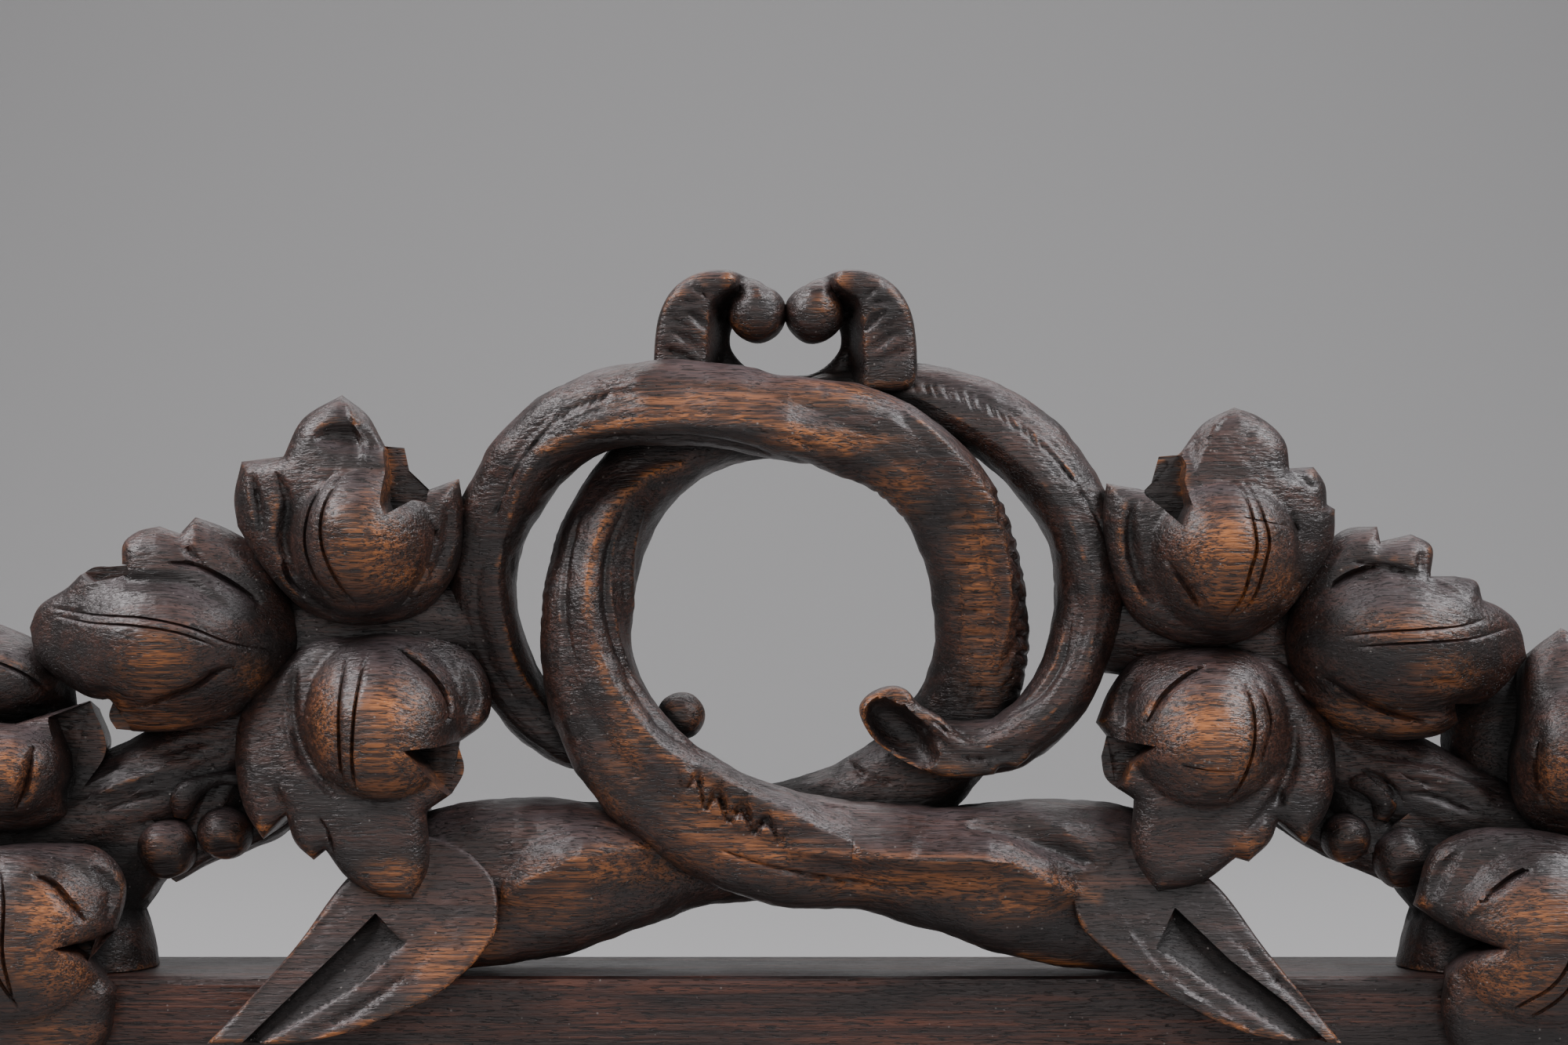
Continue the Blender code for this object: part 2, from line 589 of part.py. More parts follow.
def swept(name, stations, sides=SECTION_SIDES, ridges=None):
    """A closed branch through stations of x, z, depth of the middle, width and front to back size.

    Ridges holds the angle of the front ridge at each station, and a plain branch has none.
    """
    stations = np.array(stations, float)
    along = np.gradient(stations[:, :2], axis=0)
    along /= np.linalg.norm(along, axis=1)[:, None]

    def make(bm):
        rings = []
        for i, ((x, z, middle, width, thick), (along_x, along_z)) in enumerate(zip(stations, along)):
            ring = []
            for side in range(sides):
                angle = 2 * math.pi * side / sides
                share = 1.0
                if ridges is not None:
                    angle += math.pi / 2
                    share = section(angle, ridges[i])
                across = share * math.cos(angle) * width / 2
                forward = middle + share * math.sin(angle) * thick / 2
                ring.append(bm.verts.new((x + along_z * across, -max(forward, 0.0), z - along_x * across)))
            rings.append(ring)
        for ring, after in zip(rings, rings[1:]):
            for i in range(sides):
                bm.faces.new([ring[i], ring[i - 1], after[i - 1], after[i]])
        bm.faces.new(rings[0])
        bm.faces.new(rings[-1][::-1])
        bmesh.ops.recalc_face_normals(bm, faces=bm.faces)

    return solid_object(name, make)


def by_angle(table, angle):
    """A value between the rows of a table that runs by degrees round the ring."""
    return np.interp(angle, [row[0] for row in table], [row[1] for row in table])


def branch(name, depths, side):
    """One of the two branches. Side is 1 for the one that starts at the left, -1 for its mirror image."""
    course = smooth_course([(math.radians(a) * r, r, a, w) for a, r, w in BRANCH_COURSE], BRANCH_STATIONS)
    stations = []
    ridges = []
    for _, radius, degrees, width in course:
        angle = math.radians(degrees)
        x, z = side * radius * math.cos(angle), RING_HEIGHT + radius * math.sin(angle)
        stations.append((x, z, by_angle(depths, degrees), width, by_angle(BRANCH_THICKNESS, degrees)))
        ridges.append(math.pi / 2 + side * math.radians(by_angle(RIDGE_TURN, degrees)))
    return swept(name, stations, ridges=ridges)


def curl(name, side):
    """One upper curl: a band that is highest along its middle line. Side is 1 for the left one."""
    mirror = np.array((side, 1.0))
    corners = [(x, up, BEND) for x, up in CURL]
    outline = outline_points(corners, CURL_OUTLINE_STEP) * mirror
    band = np.array(CURL_BAND, float) * mirror

    def front(points):
        gap, _ = nearest_on(band, points)
        return CURL_LEVEL + CURL_RISE * np.sqrt(1 - np.clip(gap / CURL_HALF_WIDTH, 0, 1) ** 2)

    return relief(name, (0, RING_HEIGHT), outline, (), front, ((1.0, CURL_BACK),), CURL_STEP, ())


def hook():
    """The scooped tip: a flat slanting face with an oval bowl cut into it."""
    corners = np.array([(x, z) for x, z in HOOK])
    middle = corners.mean(axis=0)
    outline = outline_points([(x, z, BEND) for x, z in corners - middle], HOOK_STEP)
    x, z, half_length, half_width = HOOK_BOWL
    along = np.array((math.cos(HOOK_BOWL_TURN), math.sin(HOOK_BOWL_TURN)))
    across = np.array((-along[1], along[0]))

    def front(points):
        away = points + middle - (x, z)
        share = ((away @ along) / half_length) ** 2 + ((away @ across) / half_width) ** 2
        return HOOK_DEPTH - HOOK_SLOPE * points[:, 1] - HOOK_BOWL_DEPTH * np.clip(1 - share, 0, 1) ** 0.5

    return relief("hook", middle, outline, (), front, ((1.0, HOOK_BACK),), HOOK_STEP, ())


def stem(name, keys, count=STEM_STATIONS, sides=STEM_SIDES):
    keys = [(x, z, middle, width, min(STEM_DEPTH, width)) for x, z, middle, width in keys]
    return swept(name, smooth_course(keys, count), sides=sides)


def ball(name, x, z, middle, radius):
    def make(bm):
        bmesh.ops.create_uvsphere(bm, u_segments=BALL_SIDES, v_segments=BALL_ROWS, radius=radius)
        bmesh.ops.translate(bm, verts=bm.verts, vec=(x, -middle, z))

    return solid_object(name, make)


def box(name, low, high, bevel=0.0):
    def make(bm):
        bmesh.ops.create_cube(bm, size=1.0)
        for vert in bm.verts:
            vert.co = [a + (b - a) * (c + 0.5) for a, b, c in zip(low, high, vert.co)]
        if bevel:
            ends = [(edge, [vert.co.x for vert in edge.verts]) for edge in bm.edges]
            edges = [edge for edge, (start, end) in ends if abs(start - end) > RAIL_LENGTH / 2]
            bmesh.ops.bevel(bm, geom=edges, offset=bevel, segments=2, profile=0.5, affect="EDGES")

    return solid_object(name, make)


def carving_pieces():
    pieces = [leaf_object(name, leaf) for name, leaf in LEAVES.items()]
    pieces.append(branch("front_branch", FRONT_START_DEPTH, -1))
    pieces.append(branch("back_branch", BACK_START_DEPTH, 1))
    pieces.append(cut_end("left_cut", LEFT_CUT, LEFT_SPLIT))
    pieces.append(cut_end("right_cut", RIGHT_CUT, RIGHT_SPLIT))
    for side, word in ((1, "left"), (-1, "right")):
        pieces.append(curl(word + "_curl", side))
        x, z = side * CURL_BALL[0], RING_HEIGHT + CURL_BALL[1]
        pieces.append(ball(word + "_curl_ball", x, z, CURL_BALL_DEPTH, CURL_BALL_RADIUS))
    pieces.append(hook())
    pieces += [stem(f"stem_{i}", keys) for i, keys in enumerate(STEMS)]
    pieces += [stem(f"sprout_{i}", keys, SPROUT_STATIONS, SPROUT_SIDES) for i, keys in enumerate(SPROUTS)]
    pieces += [ball(f"berry_{i}", *berry) for i, berry in enumerate(BERRIES + (KNOB,))]
    return pieces


def joined(name, pieces, cutter):
    """One solid from the overlapping pieces, with the cutter's space taken out of it."""
    group = bpy.data.collections.new("pieces")
    bpy.context.scene.collection.children.link(group)
    base = pieces[0]
    bpy.context.scene.collection.objects.link(base)
    for piece in pieces[1:]:
        group.objects.link(piece)
    bpy.context.scene.collection.objects.link(cutter)
    union = base.modifiers.new("union", "BOOLEAN")
    union.operation = "UNION"
    union.operand_type = "COLLECTION"
    union.collection = group
    seat = base.modifiers.new("seat", "BOOLEAN")
    seat.operation = "DIFFERENCE"
    seat.object = cutter
    graph = bpy.context.evaluated_depsgraph_get()
    mesh = bpy.data.meshes.new_from_object(base.evaluated_get(graph))
    for helper in pieces + [cutter]:
        bpy.data.objects.remove(helper, do_unlink=True)
    bpy.data.collections.remove(group)
    made = bpy.data.objects.new(name, mesh)
    bpy.context.scene.collection.objects.link(made)
    return made


def oak(name, colour, roughness):
    material = bpy.data.materials.new(name)
    material.use_nodes = True
    shader = material.node_tree.nodes["Principled BSDF"]
    shader.inputs["Base Color"].default_value = colour
    shader.inputs["Roughness"].default_value = roughness
    shader.inputs["Metallic"].default_value = 0.0
    return material


def finish(piece, material):
    """Turns millimetres to metres, sets the piece over the middle of the rail, and gives it its surface."""
    for vert in piece.data.vertices:
        vert.co = vert.co * MM + Vector((0, RAIL_DEPTH / 2 * MM, 0))
    piece.data.materials.clear()
    piece.data.materials.append(material)
    piece.data.shade_smooth()
    piece.data.set_sharp_from_angle(angle=SHARP_ANGLE)


def main():
    for thing in list(bpy.data.objects):
        bpy.data.objects.remove(thing, do_unlink=True)
    half = RAIL_LENGTH / 2
    rail = box("top_rail", (-half, -RAIL_DEPTH, 0), (half, 0, RAIL_HEIGHT), RAIL_EDGE)
    bpy.context.scene.collection.objects.link(rail)
    low = (-half - CUTTER_MARGIN, -RAIL_DEPTH - SEAT_GAP, -CUTTER_MARGIN)
    high = (half + CUTTER_MARGIN, CUTTER_MARGIN, RAIL_HEIGHT + SEAT_GAP)
    cutter = box("seat_cutter", low, high)
    crest = joined("carved_crest", carving_pieces(), cutter)
    finish(crest, oak("dark_oak", OAK, 0.45))
    finish(rail, oak("rail_oak", RAIL_OAK, 0.4))


main()
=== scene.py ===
"""The carved oak crest dressed in full: finer carving, worn stained oak with painted shade and sheen, floor,
lights and camera.

The crest is made again here from the same parts as its solid, with finer carving, and it replaces that solid.
Sizes are in millimetres and MM turns them to metres. Depth is measured forward from the flat back.
Places on the carving are read in the photograph's pixels, 2000 by 1333, and turned to sizes by their depth.
"""

import math

import bpy
import numpy as np
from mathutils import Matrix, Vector, noise
from mathutils.geometry import delaunay_2d_cdt


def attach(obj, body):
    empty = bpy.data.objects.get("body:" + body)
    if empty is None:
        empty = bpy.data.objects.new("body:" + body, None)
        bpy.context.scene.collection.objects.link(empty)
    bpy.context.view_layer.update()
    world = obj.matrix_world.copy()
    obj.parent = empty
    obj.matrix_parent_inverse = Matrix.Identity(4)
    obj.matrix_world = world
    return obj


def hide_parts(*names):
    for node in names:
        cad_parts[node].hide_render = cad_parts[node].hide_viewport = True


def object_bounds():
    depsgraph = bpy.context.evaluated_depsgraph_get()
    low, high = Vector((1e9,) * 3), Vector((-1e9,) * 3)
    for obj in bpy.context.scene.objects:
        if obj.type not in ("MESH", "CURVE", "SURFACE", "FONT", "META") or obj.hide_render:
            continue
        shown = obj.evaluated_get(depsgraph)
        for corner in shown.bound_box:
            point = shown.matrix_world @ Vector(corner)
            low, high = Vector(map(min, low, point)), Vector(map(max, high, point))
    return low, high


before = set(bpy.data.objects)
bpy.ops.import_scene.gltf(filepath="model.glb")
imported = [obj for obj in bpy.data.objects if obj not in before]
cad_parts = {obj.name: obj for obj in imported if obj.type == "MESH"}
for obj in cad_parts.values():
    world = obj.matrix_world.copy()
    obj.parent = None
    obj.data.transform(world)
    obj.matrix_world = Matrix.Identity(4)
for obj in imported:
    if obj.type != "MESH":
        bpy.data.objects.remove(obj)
cad_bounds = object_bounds()

MM = 0.001
# A corner marked TIP is sharp, and the others are bends of a smooth curve
TIP = True

# The photograph's camera: its middle pixel, its scale on the plane it was measured on, and its place
PHOTO_MIDDLE = np.array((1002.0, 666.0))
PIXELS_PER_MM = 6.25
PLANE_DISTANCE = 620.0
EYE_DISTANCE = 638.0
EYE_HEIGHT = 119.0
EYE_SIDE = -0.3
LENS = 69.75
SENSOR = 36.0

# The rail, the gap that the crest keeps to it, and how far the cutter reaches past the crest
RAIL_DEPTH = 30.0
RAIL_HEIGHT = 28.0
SEAT_GAP = 0.3
SEAT_MARGIN = 10

# Ring of the two branches, as in the solid
RING_HEIGHT = 100.0
BRANCH_DEPTH = 21.0
TRUNK_DEPTH = 33.0
SECTION_POWER = 2.5
# Course of a branch: degrees round the ring, radius and width. The tables after it give, by degrees, the
# depth of the middle of the branch that crosses in front and of the other one, and their depth in all.
BRANCH_COURSE = (
    (-143, 95, 31), (-139, 83, 33.5), (-132, 71.2, 31.8), (-122, 60, 25.2), (-108, 50.7, 21.6),
    (-90, 46.3, 23), (-65, 43.3, 22.5), (-40, 41.8, 21.3), (-16, 41.2, 19), (8, 40, 18), (30, 40.5, 17.5),
    (50, 41, 17), (70, 40.8, 16.5), (90, 40.3, 16), (106, 44.4, 16.5), (122, 51, 16.5), (139, 58.3, 16),
    (154, 61.4, 15.6), (170, 62.4, 14.2), (183, 60.6, 13), (197, 57, 12), (207, 52.5, 11.5),
    (214, 47, 11.5), (219, 40.5, 9),
)
FRONT_START_DEPTH = (
    (-143, 22), (-120, 24), (-90, 29), (-40, 27), (8, 22), (50, 15), (90, 11), (122, 13), (165, 19),
    (198, 25), (219, 25),
)
BACK_START_DEPTH = (
    (-143, 22), (-120, 19), (-90, 11), (-40, 12), (8, 20), (50, 27), (90, 29), (122, 27), (165, 20),
    (198, 13), (219, 12),
)
BRANCH_THICKNESS = (
    (-143, 20), (-134, 29), (-127, TRUNK_DEPTH), (-105, BRANCH_DEPTH), (150, BRANCH_DEPTH), (180, 17),
    (219, 12),
)

# Left upper curl, and its mirror image: outline in x and height above the ring's middle, and its band,
# which also has the half width of its flat top
CURL = (
    (-26.6, 49.9), (-26.3, 56.1), (-25.2, 61.7), (-22.4, 66.4), (-18.4, 69.0), (-13.7, 70.0), (-9, 69.3),
    (-4.7, 67.4), (-2.2, 64.8), (-2.5, 61.4), (-6, 59.4), (-10.6, 59.6), (-11.3, 55), (-9.3, 51.9),
    (-5.8, 49.5), (0.5, 48.1), (0.5, 44), (-14, 45.3), (-26.4, 48),
)
CURL_BAND = ((-20.9, 40, 5.0), (-21.1, 54, 5.0), (-20.2, 61, 4.6), (-17.2, 66, 3.3), (-12.2, 68, 1.9))
CURL_SLOPE = 3.4
# Rounded end of the curl, above the ball: middle, half width, half height and depth of its front
CURL_LOBE = (-5.9, 62.6, 5.6, 6.9, 28.2)
CURL_TOP = 28.0
CURL_DROP = 10.0
CURL_BACK = 10.5
CURL_BALL = (-5.75, 61.3)
CURL_BALL_RADIUS = 5.95
CURL_BALL_DEPTH = 22.5

# Scooped tip of the branch in front: its outline and the oval bowl, in pixels
HOOK = (
    (1098, 902), (1107, 890), (1128, 879), (1144, 877), (1158, 882), (1173, 899), (1203, 917), (1220, 932),
    (1253, 949), (1286, 947), (1312, 938, TIP), (1316, 962), (1298, 979, TIP), (1274, 981),
    (1269, 988, TIP), (1239, 992, TIP), (1206, 991), (1182, 984), (1154, 972), (1128, 955), (1109, 936),
)
HOOK_FRONT = 32.6
HOOK_BACK = 24.0
HOOK_BOWL = (1150, 936)
HOOK_BOWL_REACH = (58, 30)
HOOK_BOWL_TURN = math.radians(43)
HOOK_BOWL_DEPTH = 6.0

# Fineness of the carved surfaces: rings of points behind a rim, how far points keep from the lines of
# strokes and, as a share, from the rim, how much a branch's points gather in front, and the most
# triangles that the crest keeps
FINE_STEP = 0.7
RIM_RINGS = (0.35, 0.8, 1.4, 2.1, 2.9)
LINE_CLEAR = 0.25
RING_CLEAR = 0.9
OUTLINE_STEP = 0.75
WALL_ROWS = 7
BRANCH_STATIONS = 620
BRANCH_SIDES = 104
FRONT_SHARE = 0.45
MOST_TRIANGLES = 190000

# Leaves: the edge is rounded over EDGE_ROUND and rises by EDGE_RISE, and the walls run back and inward
EDGE_ROUND = 4.5
EDGE_RISE = 4.0
WALL_START = 3.5
WALL_SLANT = 0.97
BACK_SHARE = 0.76
LEAF_BACK = 0.5
BALL_POWER = 0.8
BALL_AHEAD = 8.0
# Strokes fade this close to a leaf's edge, and are first placed at this depth
STROKE_FADE = 0.8
STROKE_DEPTH = 30.0
# Lowered places: the step along their border in pixels, and the lines that the mesh follows beside it
BORDER_STEP = 4
BORDER_SHIFT = 0.13
# Rounded edges of the other faces: how far the edge goes back, and over what width
CUT_ROUND = (0.8, 1.2)
CURL_ROUND = (1.6, 2.4)
HOOK_ROUND = (1.5, 2.2)
# Unevenness left by the knife: size and amount of the broad humps and of the small nicks
LEAF_HUMPS, LEAF_NICKS = (7.0, 0.4), (2.0, 0.14)
CUT_HUMPS, CUT_NICKS = (8.0, 0.4), (2.5, 0.14)
CURL_HUMPS, CURL_NICKS = (5.0, 0.5), (2.0, 0.2)
BRANCH_HUMPS, BRANCH_NICKS = (9.0, 0.5), (3.0, 0.22)
BALL_SWELL = (5.0, 0.07)


def photo_place(x, z, depth):
    """Where a point shows in the photograph, in pixels."""
    scale = PIXELS_PER_MM * PLANE_DISTANCE / (EYE_DISTANCE - depth)
    return np.stack([x, EYE_HEIGHT - z], axis=-1) * scale + PHOTO_MIDDLE


def real_place(pixels, depth):
    """The x and z of what shows at these pixels, where it lies at this depth."""
    scale = PIXELS_PER_MM * PLANE_DISTANCE / (EYE_DISTANCE - depth)
    return (np.array(pixels, float) - PHOTO_MIDDLE) / scale * (1, -1) + (0, EYE_HEIGHT)


def smooth_course(keys, count):
    """Points along a smooth curve through the keys, evenly spaced by key distance."""
    keys = np.array(keys, float)
    steps = np.linalg.norm(np.diff(keys[:, :2], axis=0), axis=1)
    at = np.concatenate([[0.0], np.cumsum(np.maximum(steps, 1e-6))])
    slope = np.gradient(keys, at, axis=0)
    where = np.linspace(0, at[-1], count)
    place = np.clip(np.searchsorted(at, where, side="right") - 1, 0, len(at) - 2)
    span = (at[place + 1] - at[place])[:, None]
    t = (where[:, None] - at[place][:, None]) / span
    start, end = keys[place], keys[place + 1]
    start_slope, end_slope = slope[place] * span, slope[place + 1] * span
    return (
        (2 * t**3 - 3 * t**2 + 1) * start
        + (t**3 - 2 * t**2 + t) * start_slope
        + (3 * t**2 - 2 * t**3) * end
        + (t**3 - t**2) * end_slope
    )


def outline_points(corners, step):
    """A closed outline: sharp at each TIP, and one smooth curve through the bends between two tips."""
    tips = [i for i, corner in enumerate(corners) if len(corner) > 2] or [0]
    points = []
    for first, last in zip(tips, tips[1:] + [tips[0] + len(corners)]):
        run = np.array([corners[i % len(corners)][:2] for i in range(first, last + 1)], float)
        length = np.linalg.norm(np.diff(run, axis=0), axis=1).sum()
        points.append(smooth_course(run, max(3, round(length / step) + 1))[:-1])
    return np.concatenate(points)


def facing_forward(outline):
    """The outline in the order that turns its face to the front."""
    x, z = outline[:, 0], outline[:, 1]
    area = (x * np.roll(z, -1) - np.roll(x, -1) * z).sum()
    return outline if area > 0 else outline[::-1]


def nearest_on(line, points, closed=False):
    """For each point, its distance to a line and how far along the line that is, from 0 to 1."""
    ends = np.roll(line, -1, axis=0) if closed else line[1:]
    starts = line if closed else line[:-1]
    best = np.full(len(points), np.inf)
    place = np.zeros(len(points))
    for i, (start, end) in enumerate(zip(starts, ends)):
        along = end - start
        t = np.clip(((points - start) @ along) / max(along @ along, 1e-12), 0, 1)
        gap = np.linalg.norm(points - start - t[:, None] * along, axis=1)
        closer = gap < best
        best[closer] = gap[closer]
        place[closer] = i + t[closer]
    return best, place / len(starts)


def inside(outline, points):
    """Which points lie inside a closed outline."""
    within = np.zeros(len(points), bool)
    x, z = points[:, 0], points[:, 1]
    for (x0, z0), (x1, z1) in zip(outline, np.roll(outline, -1, axis=0)):
        if z0 != z1:
            within ^= ((z0 > z) != (z1 > z)) & (x < x0 + (z - z0) / (z1 - z0) * (x1 - x0))
    return within


def sideways(along):
    """The unit direction square to each of these directions."""
    return np.stack([-along[:, 1], along[:, 0]], axis=1) / np.linalg.norm(along, axis=1)[:, None]


class Stroke:
    """One stroke of carving, along a line in the photograph's pixels. Its depth is in millimetres.

    A cut is V-shaped, a hollow is round, and a negative depth raises a ridge.
    """

    def __init__(self, course, half_width, depth, round_bottom=False, straight=False):
        self.line = np.array(course, float) if straight else smooth_course(course, 6 * len(course))
        self.half_width = half_width
        self.depth = depth
        self.round_bottom = round_bottom

    def change(self, pixels):
        """How far the stroke takes the surface back at these pixels."""
        taken = np.zeros(len(pixels))
        low, high = self.line.min(axis=0) - self.half_width, self.line.max(axis=0) + self.half_width
        near = ((pixels > low) & (pixels < high)).all(axis=1)
        if not near.any():
            return taken
        gap, t = nearest_on(self.line, pixels[near])
        share = np.sin(np.pi * np.clip(t, 0, 1)) ** 0.5
        across = np.clip(gap / (self.half_width * share + 1e-6), 0, 1)
        profile = 0.5 + 0.5 * np.cos(np.pi * across) if self.round_bottom else 1 - across
        taken[near] = self.depth * share * profile
        return taken

    def edges(self):
        """The lines of a sharp stroke that the mesh follows: its bottom and its two sides."""
        if self.round_bottom:
            return []
        across = self.half_width * sideways(np.gradient(self.line, axis=0))
        return [self.line, self.line + across, self.line - across]


def cut(half_width, depth, *course):
    return Stroke(course, half_width, depth)


def hollow(half_width, depth, *course):
    return Stroke(course, half_width, depth, round_bottom=True)


def ridge(half_width, height, *course):
    return Stroke(course, half_width, -height, round_bottom=True)


def arris(half_width, height, *course):
    """A ridge with a sharp crest between two flat facets."""
    return Stroke(course, half_width, -height)


def zigzag(half_width, depth, *course):
    return Stroke(course, half_width, depth, straight=True)


def row(half_width, depth, spacing, length, turn, *course):
    """A row of short gouges along a course. Turn is their direction in degrees, from the right downward."""
    line = smooth_course(course, 60)
    at = np.concatenate([[0.0], np.cumsum(np.linalg.norm(np.diff(line, axis=0), axis=1))])
    random = np.random.default_rng(int(at[-1] * 7 + length))
    strokes = []
    for place in np.arange(spacing / 2, at[-1], spacing):
        place += random.uniform(-0.2, 0.2) * spacing
        middle = np.array([np.interp(place, at, line[:, axis]) for axis in (0, 1)])
        angle = math.radians(turn + random.uniform(-9, 9))
        half = 0.5 * length * random.uniform(0.75, 1.15) * np.array((math.cos(angle), math.sin(angle)))
        bow = 0.12 * np.array((-half[1], half[0]))
        strokes.append(hollow(half_width * random.uniform(0.8, 1.2), depth * random.uniform(0.6, 1.2),
                              middle - half, middle + bow, middle + half))
    return tuple(strokes)


class Leaf:
    """A carved leaf: its outline in pixels, the depth of its edge, its domes, strokes and lowered places."""

    def __init__(self, rim, crown, outline, balls, strokes, lowered=(), lean=(0.0, 0.0), swell=BALL_POWER):
        self.rim = rim
        self.crown = crown
        self.outline = outline
        self.balls = balls
        self.strokes = strokes
        self.lowered = lowered
        self.lean = lean
        self.swell = swell


VEIN = (2.8, 1.1)
FINE_VEIN = (2.2, 0.8)

